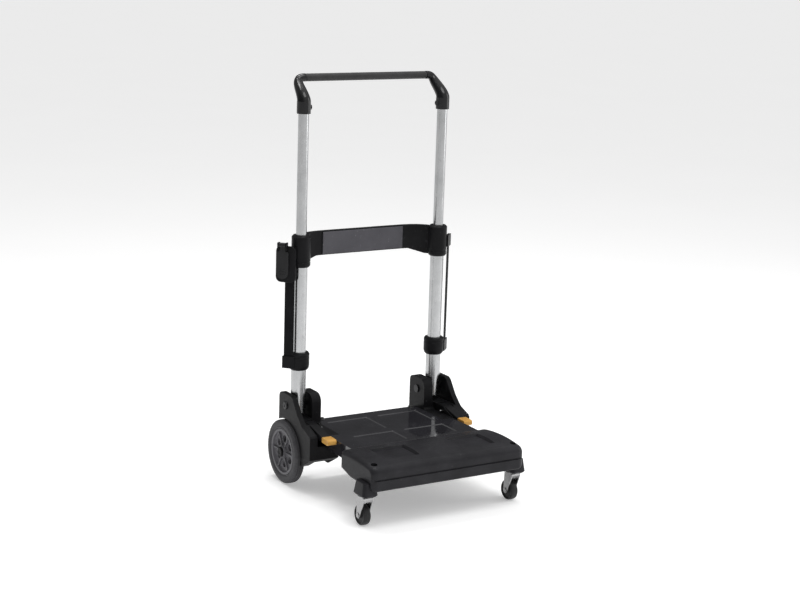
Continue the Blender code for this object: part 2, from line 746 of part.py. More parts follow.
def rear_tyre(name, side):
    place = (side * WHEEL_X, MAST_Y, WHEEL_R)
    half = WHEEL_WIDTH / 2
    seat = half - RIM_RECESS
    shoulder = [(WHEEL_R * radius, -half * width) for radius, width in TREAD_CROWN]
    other = [(radius, -height) for radius, height in reversed(shoulder)]
    profile = [(RIM_R, seat), (RIM_R, -seat), *shoulder, (WHEEL_R, 0), *other]
    add_object(f"rear_tyre_{name}", lathe(profile, place, "X", 40), tyre_rubber(), place)


def rear_hub(name, side):
    place = (side * WHEEL_X, MAST_Y, WHEEL_R)
    half = WHEEL_WIDTH / 2
    seat = half - RIM_RECESS
    rim = RIM_R - GAP
    rim_inner = rim - RIM_THICK
    profile = both_ends([
        (AXLE_R + RUNNING_FIT, -half),
        (HUB_BOSS_R, -half),
        (HUB_BOSS_R + HUB_DRAFT, -HUB_WEB),
        (rim_inner - RIM_FILLET, -HUB_WEB),
        (rim_inner, -seat),
        (rim, -seat),
    ])
    obj = add_object(f"rear_hub_{name}", lathe(profile, place, "X", 30), hub_plastic(), place)
    middle = (HUB_BOSS_R + rim_inner) / 2
    for i in range(HUB_HOLES):
        turn = math.tau * i / HUB_HOLES
        spot = (place[0], place[1] + middle * math.sin(turn), place[2] + middle * math.cos(turn))
        hole = lathe(rod(HUB_HOLE_R, -WHEEL_WIDTH, WHEEL_WIDTH), spot, "X", 12)
        cut(obj, helper(f"cut_hub_{name}_{i}", hole))


def axle_cap(name, side, axle_end):
    low = WHEEL_X + WHEEL_WIDTH / 2 + 2 * GAP
    bore = AXLE_R + GAP
    top = axle_end + CAP_OVER_AXLE
    profile = [
        (bore, low),
        (CAP_R, low),
        (CAP_R, low + CAP_RIM),
        (CAP_R - CAP_TAPER, top),
        (0, top),
        (0, axle_end + GAP),
        (bore, axle_end + GAP),
    ]
    place = (0, MAST_Y, WHEEL_R)
    add_object(f"axle_cap_{name}", lathe(mirrored(side, profile), place, "X"), black_plastic(), place)


def caster_stem(name, place, crown_top, crown_bottom):
    """Plate under the pod with the stem that the fork swivels on."""
    plate_top = POD_BOTTOM - GAP
    profile = [
        (0, crown_bottom - STEM_PAST),
        (STEM_R, crown_bottom - STEM_PAST),
        (STEM_R, crown_top + STEM_TUCK),
        (STEM_PLATE_R, plate_top - STEM_PLATE),
        (STEM_PLATE_R, plate_top),
        (0, plate_top),
    ]
    add_object(f"caster_stem_{name}", lathe(profile, place), steel(), place)


def caster_fork(name, place, hub, crown_top, crown_bottom):
    """Pressed fork: a crown round the stem and a leg on each side of the wheel."""
    cheek = CASTER_WIDTH / 2 + FORK_CLEARANCE
    outer = cheek + FORK_STEEL
    front = place[1] - FORK_CROWN[0]
    rear = place[1] + FORK_CROWN[1]
    side_view = [
        (front, crown_top),
        (front, crown_bottom),
        (hub[1] - FORK_REACH, hub[2] - FORK_HEEL),
        *arc(hub[1:], FORK_REACH, 200, 340, 5),
        (rear, crown_bottom),
        (rear, crown_top),
    ]
    blank = skin([[(place[0] + edge, y, z) for y, z in side_view] for edge in (-outer, outer)])
    fork = add_object(f"caster_fork_{name}", blank, steel(), place)
    bevel(fork, FORK_EDGE, 1)
    inside = box(
        (place[0] - cheek, place[1] - 3 * CASTER_R, -CASTER_R),
        (place[0] + cheek, place[1] + 3 * CASTER_R, crown_bottom),
    )
    stem_bore = lathe(rod(STEM_R + RUNNING_FIT, crown_bottom - SKIN, crown_top + SKIN), place, steps=20)
    axle_hole = lathe(rod(CASTER_AXLE_R + GAP, -2 * outer, 2 * outer), hub, "X", 16)
    cut(
        fork,
        helper(f"cut_fork_inside_{name}", inside),
        helper(f"cut_fork_stem_{name}", stem_bore),
        helper(f"cut_fork_axle_{name}", axle_hole),
    )
    return outer


def caster_wheel(name, hub):
    half = CASTER_WIDTH / 2
    face = [(CASTER_R * radius, -half * width) for radius, width in CASTER_PROFILE]
    profile = both_ends([(CASTER_AXLE_R + RUNNING_FIT, -half), *face])
    add_object(f"caster_wheel_{name}", lathe(profile, hub, "X"), tyre_rubber(), hub)


def caster_axle(name, hub, fork_half):
    head = fork_half + GAP
    profile = both_ends([
        (0, -head - CASTER_AXLE_HEAD),
        (CASTER_AXLE_HEAD_R, -head - CASTER_AXLE_HEAD),
        (CASTER_AXLE_HEAD_R, -head),
        (CASTER_AXLE_R, -head),
    ])
    add_object(f"caster_axle_{name}", lathe(profile, hub, "X", 16), steel(), hub)


def caster(name, side):
    swivel = (side * CASTER_X, CASTER_Y, 0)
    hub = (side * CASTER_X, CASTER_Y + CASTER_TRAIL, CASTER_R)
    crown_top = POD_BOTTOM - GAP - STEM_PLATE - BEARING_GAP
    crown_bottom = crown_top - 2 * FORK_STEEL
    caster_stem(name, swivel, crown_top, crown_bottom)
    fork_half = caster_fork(name, swivel, hub, crown_top, crown_bottom)
    caster_wheel(name, hub)
    caster_axle(name, hub, fork_half)


# ---------------------------------------------------------------- mast


def upright(side):
    """Foot of an upright's axis on the floor."""
    return (side * TUBE_X, MAST_Y, 0)


def lower_tube(name, side, pivot_bore):
    profile = pipe(LOWER_R, LOWER_R - LOWER_WALL, TUBE_FOOT, LOWER_TOP)
    obj = add_object(f"lower_tube_{name}", lathe(profile, upright(side)), aluminium(), upright(side))
    cut(obj, pivot_bore)


def pivot_block(name, side, pivot_bore):
    """Plug in the lower tube's foot that the pivot pin passes through."""
    plug = lathe(rod(MIDDLE_R, TUBE_FOOT, BLOCK_TOP), upright(side))
    cut(add_object(f"pivot_block_{name}", plug, black_plastic(), upright(side)), pivot_bore)


def middle_tube(name, side):
    profile = pipe(MIDDLE_R, MIDDLE_BORE, BLOCK_TOP + MIDDLE_ABOVE_BLOCK, MIDDLE_TOP)
    add_object(f"middle_tube_{name}", lathe(profile, upright(side)), aluminium(), upright(side))


def strap_point(side, along, out, z):
    """World point from a distance along the strap's width and one out of its face, beside an upright."""
    across = Vector((side * math.cos(STRAP_TURN), math.sin(STRAP_TURN)))
    facing = Vector((side * math.sin(STRAP_TURN), -math.cos(STRAP_TURN)))
    edge = Vector((side * (TUBE_X + STRAP_EDGE_OUT), MAST_Y - STRAP_EDGE_FRONT))
    flat = edge + across * (STRAP_WIDTH / 2 + along) + facing * out
    return (flat.x, flat.y, z)


def strap_block(side, along, out, z):
    """A block square to the strap; each argument but side is a (low, high) pair."""
    corners = ((along[0], out[0]), (along[1], out[0]), (along[1], out[1]), (along[0], out[1]))
    return skin([[strap_point(side, a, o, level) for a, o in corners] for level in z])


def strap_plate(side, out, outline):
    """A flat piece square to the strap, from its (along, z) outline."""
    return skin([[strap_point(side, a, level, z) for a, z in outline] for level in out])


def strap_slot(name, side, z):
    """Cutter for the slot that the strap passes through."""
    half = STRAP_WIDTH / 2 + GAP
    face = STRAP_THICK / 2 + GAP
    return helper(name, strap_block(side, (-half, half), (-face, face), z))


def strap_lug(name, side, low, high):
    """The lump beside a collar or a clamp that holds the strap's end; it reaches in to the upright."""
    half = STRAP_WIDTH / 2 + LUG_WALL
    face = STRAP_THICK / 2 + LUG_WALL
    lug = helper(f"lug_{name}", strap_block(side, (-half, half), (-face, face), (low, high)))
    bevel(lug, LUG_EDGE, 1)
    return lug


def collar(name, side):
    """Ring over the joint of the lower and middle tubes; returns where the strap's lower end sits in it."""
    over_lower = LOWER_R + GAP
    over_middle = MIDDLE_R + GAP
    step = LOWER_TOP + GAP
    cone = [(COLLAR_R - inset, COLLAR_BOTTOM + height) for inset, height in COLLAR_CONE]
    profile = [
        (over_lower, COLLAR_BOTTOM),
        *cone,
        (COLLAR_R, COLLAR_TOP - COLLAR_SHOULDER[1]),
        (COLLAR_R - COLLAR_SHOULDER[0], COLLAR_TOP),
        (over_middle, COLLAR_TOP),
        (over_middle, step),
        (over_lower, step),
    ]
    obj = add_object(f"collar_{name}", lathe(profile, upright(side)), black_plastic(), upright(side))
    low = COLLAR_BOTTOM + COLLAR_LUG_ABOVE_FOOT
    high = low + LUG_HEIGHT
    strap_low = high - STRAP_HELD
    clear = lathe(rod(over_lower, COLLAR_BOTTOM - SKIN, step), upright(side))
    join(obj, strap_lug(f"collar_{name}", side, low, high))
    cut(obj, helper(f"cut_collar_{name}", clear))
    cut(obj, strap_slot(f"cut_collar_strap_{name}", side, (strap_low - GAP, COLLAR_TOP + SKIN)))
    return strap_low


def clamp(name, side):
    """Ring at the middle tube's top that holds the crossbar and the strap; returns its lug's foot."""
    over_middle = MIDDLE_R + GAP
    over_upper = UPPER_R + 2 * GAP
    under_lid = MIDDLE_TOP + 2 * GAP
    top = under_lid + CLAMP_LID
    profile = [
        (over_middle, CLAMP_BOTTOM),
        (CLAMP_R - CLAMP_FOOT[0], CLAMP_BOTTOM),
        (CLAMP_R, CLAMP_BOTTOM + CLAMP_FOOT[1]),
        (CLAMP_R, top - CLAMP_SHOULDER[1]),
        (CLAMP_R - CLAMP_SHOULDER[0], top),
        (over_upper, top),
        (over_upper, under_lid),
        (over_middle, under_lid),
    ]
    obj = add_object(f"crossbar_clamp_{name}", lathe(profile, upright(side)), black_plastic(), upright(side))
    low = CLAMP_BOTTOM + CLAMP_LUG_ABOVE_FOOT
    clear = lathe(rod(over_middle, CLAMP_BOTTOM - SKIN, under_lid), upright(side))
    join(obj, strap_lug(f"clamp_{name}", side, low, low + LUG_HEIGHT))
    cut(obj, helper(f"cut_clamp_{name}", clear))
    cut(obj, strap_slot(f"cut_clamp_strap_{name}", side, (low - SKIN, low + STRAP_HELD + GAP)))
    return low


def strap(name, side, low, high):
    half = STRAP_WIDTH / 2
    face = STRAP_THICK / 2
    add_object(f"strap_{name}", strap_block(side, (-half, half), (-face, face), (low, high)), webbing())


def buckle_body(side, lug_low, back):
    """Plate in front of the lug with a loop round the strap below it, and ears for the lever's pin."""
    top = lug_low + LUG_HEIGHT + BUCKLE_ABOVE_LUG
    bottom = top - BUCKLE_HEIGHT
    centre = (BUCKLE_SHIFT, (top + bottom) / 2)
    outline = rounded_rectangle(centre, BUCKLE_WIDTH / 2, BUCKLE_HEIGHT / 2, BUCKLE_CORNER)
    plate = strap_plate(side, (back, back + BUCKLE_PLATE), outline)
    body = add_object("buckle_body", plate, black_plastic())
    bevel(body, POCKET_EDGE, 1)
    loop_low = bottom + BUCKLE_LOOP_LOW
    loop_half = STRAP_WIDTH / 2 + LUG_WALL
    loop_out = (-STRAP_THICK / 2 - LUG_WALL, back + BUCKLE_PLATE / 2)
    loop = strap_block(side, (-loop_half, loop_half), loop_out, (loop_low, loop_low + BUCKLE_LOOP))
    join(body, helper("buckle_loop", loop))
    cut(body, strap_slot("cut_buckle_strap", side, (loop_low - SKIN, loop_low + BUCKLE_LOOP + SKIN)))
    return body, top + BARREL_ABOVE_PLATE


def strap_buckle(side, lug_low):
    """Buckle on the left-hand strap: its body, the lever that tightens it and the lever's pin."""
    back = STRAP_THICK / 2 + LUG_WALL + GAP
    front = back + BUCKLE_PLATE
    body, axis_z = buckle_body(side, lug_low, back)
    axis_out = front + BARREL_R + 2 * GAP
    ear_out = (back + LUG_EDGE, axis_out + BARREL_PIN_R + EAR_WALL)
    for i, sign in enumerate((-1, 1)):
        near = LEVER_SHIFT + sign * (BARREL_LENGTH / 2 + GAP)
        span = sorted((near, near + sign * EAR_THICK))
        ear = strap_block(side, span, ear_out, (axis_z - EAR_DEPTH, axis_z + BARREL_R - GAP))
        join(body, helper(f"buckle_ear_{i}", ear))
    place = Vector(strap_point(side, LEVER_SHIFT, axis_out, axis_z))
    across = (Vector(strap_point(side, LEVER_SHIFT + BARREL_R, axis_out, axis_z)) - place).normalized()
    pin_half = BARREL_LENGTH / 2 + GAP + EAR_THICK
    bore = rod(BARREL_PIN_R + RUNNING_FIT, -2 * pin_half, 2 * pin_half)
    cut(body, helper("cut_buckle_pin", turned_along(bore, place, across)))
    pin = turned_along(rod(BARREL_PIN_R, -pin_half, pin_half), place, across)
    add_object("buckle_pin", pin, steel(), place)

    barrel = turned_along(rod(BARREL_R, -BARREL_LENGTH / 2, BARREL_LENGTH / 2), place, across, 20)
    lever = add_object("buckle_lever", barrel, grey_plastic(), place)
    face_low = front + 2 * GAP
    paddle = strap_plate(side, (face_low, face_low + LEVER_THICK), lever_outline(axis_z))
    join(lever, helper("lever_paddle", paddle))
    cut(lever, helper("cut_lever_bore", turned_along(bore, place, across)))


def lever_outline(axis_z):
    """The lever's paddle as (along, z) points: a round foot, two shoulders and a neck up to its barrel."""
    half = LEVER_WIDTH / 2
    neck = BARREL_LENGTH / 2 - LEVER_NECK_INSET
    shoulder = axis_z - LEVER_SHOULDER
    outline = arc((LEVER_SHIFT, axis_z - LEVER_LENGTH + half), half, 180, 360, 8)
    right = [(half, shoulder - LEVER_SHOULDER_FALL), (neck, shoulder), (neck, axis_z - LEVER_NECK_TOP)]
    outline += [(LEVER_SHIFT + across, z) for across, z in right]
    outline += [(LEVER_SHIFT - across, z) for across, z in reversed(right)]
    return outline


def bow(x):
    """How far back the crossbar's front face stands at x: flat along the middle, forward at the uprights."""
    return MAST_Y - BAR_THICK / 2 + BAR_BOW * (1 - abs(x / TUBE_X) ** BOW_POWER)


def bow_spots(half, steps):
    """Places along the crossbar, closer together near its ends."""
    shares = [2 * i / steps - 1 for i in range(steps + 1)]
    return [half * math.copysign(abs(share) ** SPOT_POWER, share) for share in shares]


def bowed_strip(half, spans, front, thick, low_at, high):
    """A strip that follows the bow; front is how far its face stands from the crossbar's own."""
    rings = []
    for x in bow_spots(half, spans):
        near = bow(x) + front
        low = low_at(x)
        rings.append([(x, near, low), (x, near, high), (x, near + thick, high), (x, near + thick, low)])
    return skin(rings)


def gusset_low(x):
    """Underside of the crossbar, which drops towards each clamp."""
    share = max(0, (abs(x) - GUSSET_START) / (TUBE_X - CLAMP_R - GUSSET_START))
    return BAR_BOTTOM - GUSSET_DROP * min(1, share)


def crossbar():
    """Moulded bar between the clamps, with a gusset under each end."""
    strip = bowed_strip(TUBE_X, BAR_SPANS, 0, BAR_THICK, gusset_low, BAR_TOP)
    obj = add_object("crossbar", strip, black_plastic())
    bevel(obj, LUG_EDGE, 1, 60)
    height = (CLAMP_BOTTOM - SKIN, BAR_TOP + SKIN)
    for name, side in SIDES:
        seat = lathe(rod(CLAMP_R + GAP, *height), upright(side))
        beyond = side_box(
            side,
            (TUBE_X - CLAMP_R / 2, TUBE_X + CLAMP_R),
            (MAST_Y - 2 * CLAMP_R, MAST_Y + 3 * CLAMP_R),
            height,
        )
        cut(obj, helper(f"cut_crossbar_{name}", seat), helper(f"cut_crossbar_end_{name}", beyond))


def crossbar_plate():
    """Thin grey plate on the front of the crossbar."""
    strip = bowed_strip(
        PLATE_HALF,
        PLATE_SPANS,
        -GAP - PLATE_THICK,
        PLATE_THICK,
        lambda x: BAR_BOTTOM + PLATE_MARGIN,
        BAR_TOP - PLATE_MARGIN,
    )
    plate = add_object("crossbar_plate", strip, grey_plastic())
    bevel(plate, FORK_EDGE, 1, 60)


# ---------------------------------------------------------------- handle


def upper_tube(name, side, low):
    profile = pipe(UPPER_R, UPPER_R - UPPER_WALL, low, LEG_BOTTOM + TUBE_IN_LEG)
    add_object(f"upper_tube_{name}", lathe(profile, upright(side)), aluminium(), upright(side))


def lock_plug(name, side):
    """Plug at the upper tube's foot with its cross pin; returns the height of the plug's shoulder."""
    low = MIDDLE_TOP - UPPER_ENGAGED
    high = low + LOCK_FLANGE
    flange = MIDDLE_BORE - GAP
    spigot = UPPER_R - UPPER_WALL - GAP
    profile = [
        (0, low),
        (flange, low),
        (flange, high),
        (spigot, high),
        (spigot, high + LOCK_SPIGOT),
        (0, high + LOCK_SPIGOT),
    ]
    block = add_object(f"lock_block_{name}", lathe(profile, upright(side)), black_plastic(), upright(side))
    heel = flange - LOCK_PIN_LENGTH
    level = (side * TUBE_X, MAST_Y, (low + high) / 2)
    hole = mirrored(-side, rod(LOCK_PIN_R + RUNNING_FIT, heel - LOCK_PIN_TRAVEL - 2 * GAP, flange + SKIN))
    cut(block, helper(f"cut_lock_{name}", lathe(hole, level, "X", 16)))
    pin = lathe(mirrored(-side, rod(LOCK_PIN_R, heel, flange - GAP)), level, "X", 16)
    add_object(f"lock_pin_{name}", pin, steel(), level)
    return high + GAP


def grip_path(side):
    """Centre line of a grip's corner, from the foot of its straight leg to the end of the bar."""
    foot = Vector((side * TUBE_X, MAST_Y, LEG_BOTTOM))
    start = foot + Vector((0, 0, LEG_STRAIGHT))
    knee = Vector((side * (TUBE_X - KNEE_IN), MAST_Y + BAR_BACK * KNEE_SHARE, BAR_Z - KNEE_BELOW_BAR))
    end = Vector((side * BAR_HALF, MAST_Y + BAR_BACK, BAR_Z))
    lean = Vector((-side * KNEE_LEAN[0], KNEE_LEAN[1], KNEE_LEAN[2]))
    rise = Vector((0, 0, LEG_PULL))
    pull = Vector((side * BAR_PULL, 0, 0))
    first = interpolate_bezier(start, start + rise, knee - lean, knee, CORNER_SPANS)
    second = interpolate_bezier(knee, knee + lean, end + pull, end, CORNER_SPANS)
    return [foot] + first + second[1:]


def grip_directions(path, side):
    """Direction of the grip's centre line at each point: straight up at its foot and level at the bar."""
    inner = [(after - before).normalized() for before, after in zip(path, path[2:])]
    return [Vector((0, 0, 1)), *inner, Vector((-side, 0, 0))]


def grip_corner(name, side):
    """Moulded corner that grows from the bar's size to a thick leg around the tube."""
    path = grip_path(side)
    rings = []
    for i, (point, direction) in enumerate(zip(path, grip_directions(path, side))):
        across = Vector((0, 1, 0)).cross(direction).normalized()
        other = direction.cross(across)
        share = min(1, CORNER_TAPER * max(0, i - 1) / (len(path) - 2))
        radius = LEG_R + (BAR_R + CORNER_LIP - LEG_R) * share
        turns = [math.tau * k / CORNER_SIDES for k in range(CORNER_SIDES)]
        rings.append([point + radius * (across * math.cos(t) + other * math.sin(t)) for t in turns])
    obj = add_object(f"grip_corner_{name}", skin(rings), grip_rubber())
    socket = lathe(rod(UPPER_R + GAP, LEG_BOTTOM - SKIN, LEG_BOTTOM + TUBE_IN_LEG + GAP), upright(side))
    level = (side * TUBE_X, MAST_Y, LEG_BOTTOM + BUTTON_ABOVE_LEG_BOTTOM)
    well = mirrored(-side, rod(BUTTON_R + RUNNING_FIT, UPPER_R - 3 * GAP, LEG_R + SKIN))
    cut(obj, helper(f"cut_grip_{name}", socket), helper(f"cut_button_{name}", lathe(well, level, "X", 20)))
    release_button(name, side, level)


def release_button(name, side, level):
    """Button in the inner face of a grip's leg; it can sink until it meets the tube."""
    inner = UPPER_R + BUTTON_TRAVEL + GAP
    outer = LEG_R + BUTTON_PROUD
    profile = [
        (0, inner),
        (BUTTON_R, inner),
        (BUTTON_R, outer - BUTTON_ROUND),
        (BUTTON_R - BUTTON_ROUND, outer),
        (0, outer),
    ]
    button = lathe(mirrored(-side, profile), level, "X", 20)
    add_object(f"release_button_{name}", button, grey_plastic(), level)


def grip_bar():
    place = (0, MAST_Y + BAR_BACK, BAR_Z)
    half = BAR_HALF - GAP
    add_object("grip_bar", lathe(rod(BAR_R, -half, half), place, "X"), grip_rubber(), place)


# ---------------------------------------------------------------- the cart


def x_bore(name, radius, z):
    """A cutter right across the cart, above the axle or around it."""
    reach = CHEEK_OUTER + 10 * SKIN
    return helper(name, lathe(rod(radius, -reach, reach), (0, MAST_Y, z), "X"))


def main():
    clear_scene()
    pivot_bore = x_bore("cut_pivot", PIN_R + RUNNING_FIT, PIVOT_Z)
    axle_bore = x_bore("cut_axle", AXLE_R + RUNNING_FIT, WHEEL_R)
    deck()
    front_beam()
    axle_end = rear_axle()
    for name, side in SIDES:
        rest_bumper(name, side)
        hinge_housing(name, side, pivot_bore, axle_bore)
        pivot_pin(name, side)
        fold_pedal(name, side)
        pedal_pin(name, side)
        rear_tyre(name, side)
        rear_hub(name, side)
        axle_cap(name, side, axle_end)
        caster(name, side)
        lower_tube(name, side, pivot_bore)
        pivot_block(name, side, pivot_bore)
        middle_tube(name, side)
        strap_low = collar(name, side)
        lug_low = clamp(name, side)
        strap(name, side, strap_low, lug_low + STRAP_HELD)
        upper_tube(name, side, lock_plug(name, side))
        grip_corner(name, side)
    strap_buckle(-1, lug_low)
    crossbar()
    crossbar_plate()
    grip_bar()


main()
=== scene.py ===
"""Looks of the folding platform cart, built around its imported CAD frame.

Every shown piece is made here from the frame's own measures, in metres: tubes with rolled lips, treaded
tyres, rounded mouldings and woven straps. Each finish is procedural, and reads the place in the object.
"""

import json
import math

import bmesh
import bpy
from mathutils import Matrix, Vector
from mathutils.geometry import interpolate_bezier

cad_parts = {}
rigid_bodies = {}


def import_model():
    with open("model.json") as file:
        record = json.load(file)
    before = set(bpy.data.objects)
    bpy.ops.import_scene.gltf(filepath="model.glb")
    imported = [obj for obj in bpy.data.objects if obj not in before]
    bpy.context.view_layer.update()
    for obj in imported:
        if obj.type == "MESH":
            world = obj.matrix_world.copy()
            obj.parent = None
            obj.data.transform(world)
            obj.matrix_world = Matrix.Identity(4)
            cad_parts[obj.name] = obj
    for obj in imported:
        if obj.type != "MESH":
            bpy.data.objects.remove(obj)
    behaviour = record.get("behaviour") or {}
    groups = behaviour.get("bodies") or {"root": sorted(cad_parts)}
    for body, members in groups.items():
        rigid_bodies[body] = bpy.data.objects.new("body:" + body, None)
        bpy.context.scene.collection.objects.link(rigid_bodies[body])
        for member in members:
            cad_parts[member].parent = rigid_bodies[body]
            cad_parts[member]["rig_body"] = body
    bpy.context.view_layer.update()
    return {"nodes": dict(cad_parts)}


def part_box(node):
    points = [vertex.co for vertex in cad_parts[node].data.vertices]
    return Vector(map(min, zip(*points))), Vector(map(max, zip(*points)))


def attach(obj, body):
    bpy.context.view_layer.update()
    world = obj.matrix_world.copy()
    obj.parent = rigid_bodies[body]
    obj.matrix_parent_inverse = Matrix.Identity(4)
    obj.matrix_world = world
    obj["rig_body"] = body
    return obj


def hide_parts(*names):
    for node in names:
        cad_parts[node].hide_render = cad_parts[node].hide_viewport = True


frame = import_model()

MM = 0.001
GAP = 0.3 * MM
SIDES = (("left", -1), ("right", 1))
SAME_POINT = 0.01 * MM
STEPS = 96  # round a lathe body


# ---------------------------------------------------------------- measures from the frame


def middle(node):
    low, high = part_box(node)
    return (low + high) / 2


def radius(node):
    low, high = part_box(node)
    return (high.x - low.x) / 2


def placed(name, data):
    """A new object for a mesh, lamp or camera, in the scene."""
    made = bpy.data.objects.new(name, data)
    bpy.context.scene.collection.objects.link(made)
    return made


def mesh_of(bm, name):
    mesh = bpy.data.meshes.new(name)
    bm.to_mesh(mesh)
    bm.free()
    return mesh


TUBE_X = middle("lower_tube_right").x
MAST_Y = middle("lower_tube_right").y
LOWER_R = radius("lower_tube_right")
MIDDLE_R = radius("middle_tube_right")
UPPER_R = radius("upper_tube_right")
LOWER_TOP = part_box("lower_tube_right")[1].z
MIDDLE_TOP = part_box("middle_tube_right")[1].z
PIVOT_Z = middle("pivot_pin_right").z
DECK_LOW, DECK_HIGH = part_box("deck")
DECK_TOP = DECK_HIGH.z
HOUSING_LOW, HOUSING_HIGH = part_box("hinge_housing_right")
TYRE_LOW, TYRE_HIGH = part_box("rear_tyre_right")
WHEEL_R = TYRE_HIGH.z / 2
WHEEL_X = middle("rear_tyre_right").x
WHEEL_WIDTH = TYRE_HIGH.x - TYRE_LOW.x
BAR_PLACE = middle("grip_bar")
BAR_LOW, BAR_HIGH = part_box("grip_bar")
BAR_R = (BAR_HIGH.z - BAR_LOW.z) / 2
LEG_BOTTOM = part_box("grip_corner_right")[0].z
LEG_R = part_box("grip_corner_right")[1].x - TUBE_X


# ---------------------------------------------------------------- finishes


def wire(tree, kind, sockets=(), **settings):
    """Adds a shader node; a socket given an output is linked, any other value is set on it."""
    made = tree.nodes.new(kind)
    for name, value in settings.items():
        setattr(made, name, value)
    for socket, value in dict(sockets).items():
        if isinstance(value, bpy.types.NodeSocket):
            tree.links.new(value, made.inputs[socket])
        else:
            made.inputs[socket].default_value = value
    return made


BLACKS = ((0.005, 0.005, 0.0055), (0.01, 0.01, 0.011))
DUSTY = (0.2, 0.2, 0.21)  # worn and dusty grey plastic
ALL_WAYS = (1, 1, 1)  # steel ground with no lines along it


def finish(name, **fixed):
    """A new material, its tree, its shader and the place in the object, scaled to millimetres."""
    made = bpy.data.materials.new(name)
    made.use_nodes = True
    tree = made.node_tree
    shader = tree.nodes["Principled BSDF"]
    for socket, value in fixed.items():
        shader.inputs[socket.replace("_", " ")].default_value = value
    place = wire(tree, "ShaderNodeTexCoord").outputs["Object"]
    millimetres = wire(tree, "ShaderNodeVectorMath", {0: place, "Scale": 1 / MM}, operation="SCALE")
    return made, tree, shader, millimetres.outputs[0]


def feed(shader, **outputs):
    for socket, output in outputs.items():
        shader.id_data.links.new(output, shader.inputs[socket.replace("_", " ")])


def stretched(tree, place, x, y, z):
    """The place squeezed along each axis: a small factor draws a pattern out along it."""
    return wire(tree, "ShaderNodeVectorMath", {0: place, 1: (x, y, z)}, operation="MULTIPLY").outputs[0]


def noise(tree, place, size, detail=3, roughness=0.55):
    """Noise whose blobs are about size millimetres across, from 0 to 1."""
    settings = {"Vector": place, "Scale": 1 / size, "Detail": detail, "Roughness": roughness}
    return wire(tree, "ShaderNodeTexNoise", settings).outputs["Fac"]


def spread(tree, value, low, high, to_low, to_high):
    """Maps value from low..high to to_low..to_high, and holds it there."""
    sockets = {"Value": value, "From Min": low, "From Max": high, "To Min": to_low, "To Max": to_high}
    return wire(tree, "ShaderNodeMapRange", sockets).outputs[0]


def blend(tree, share, one, other):
    """A colour between two, each a linear RGB triple or an output."""
    made = wire(tree, "ShaderNodeMix", {0: share}, data_type="RGBA")
    for socket, colour in ((6, one), (7, other)):
        if isinstance(colour, bpy.types.NodeSocket):
            tree.links.new(colour, made.inputs[socket])
        else:
            made.inputs[socket].default_value = (*colour, 1)
    return made.outputs[2]


def maths(tree, operation, one, other=0.0):
    return wire(tree, "ShaderNodeMath", {0: one, 1: other}, operation=operation).outputs[0]


def rubbed_edges(tree, reach, place):
    """1 along convex and concave edges within reach, broken up so that it looks like wear."""
    round_normal = wire(tree, "ShaderNodeBevel", {"Radius": reach}, samples=4).outputs[0]
    flat_normal = wire(tree, "ShaderNodeNewGeometry").outputs["Normal"]
    facing = wire(tree, "ShaderNodeVectorMath", {0: round_normal, 1: flat_normal}, operation="DOT_PRODUCT")
    edge = spread(tree, facing.outputs["Value"], 0.99, 0.8, 0, 1)
    patches = spread(tree, noise(tree, place, 22, 4), 0.42, 0.66, 0.1, 1)
    return maths(tree, "MULTIPLY", edge, patches)


def raised(tree, shader, layers):
    """Stacks bumps, each (height, distance in millimetres, strength), and feeds the shader."""
    normal = None
    for height, distance, strength in layers:
        sockets = {"Height": height, "Distance": distance * MM, "Strength": strength}
        if normal:
            sockets["Normal"] = normal
        normal = wire(tree, "ShaderNodeBump", sockets).outputs[0]
    feed(shader, Normal=normal)


def scratches(tree, place, size, along):
    """Thin broken lines: a stretched noise cut down to its crests."""
    lines = noise(tree, stretched(tree, place, *along), size, 2, 0.5)
    return spread(tree, lines, 0.68, 0.74, 0, 1)


def moulded(
    name, dark, light, rough, grain=0.4, gloss=0.0, shine=0.15, wear=0.3, pale=(0.05, 0.05, 0.053), ripple=0.1
):
    """Injection-moulded plastic: spark-eroded grain, flow mottling, scuffs and rubbed edges."""
    made, tree, shader, place = finish(name, Coat_Weight=gloss, Coat_Roughness=0.12, Specular_IOR_Level=shine)
    mottle = noise(tree, place, 60, 4)
    fine = noise(tree, place, 0.9, 2)
    dust = noise(tree, place, 9, 6, 0.7)
    colour = blend(tree, spread(tree, mottle, 0.3, 0.7, 0, 1), dark, light)
    colour = blend(tree, spread(tree, fine, 0.4, 0.8, 0, 0.1), colour, pale)
    worn = maths(tree, "MULTIPLY", rubbed_edges(tree, 1.6 * MM, place), wear)
    scuffs = maths(tree, "MULTIPLY", scratches(tree, place, 9, (1, 0.12, 1)), 0.35)
    marks = maths(tree, "MAXIMUM", worn, scuffs)
    base = spread(tree, dust, 0.3, 0.7, rough - 0.06, rough + 0.08)
    total = maths(tree, "ADD", base, maths(tree, "MULTIPLY", marks, 0.18))
    feed(shader, Base_Color=blend(tree, marks, colour, pale), Roughness=total)
    pits = wire(tree, "ShaderNodeTexVoronoi", {"Vector": place, "Scale": 1.5}).outputs["Distance"]
    raised(tree, shader, [(pits, 0.06, grain), (mottle, 0.6, ripple)])
    return made


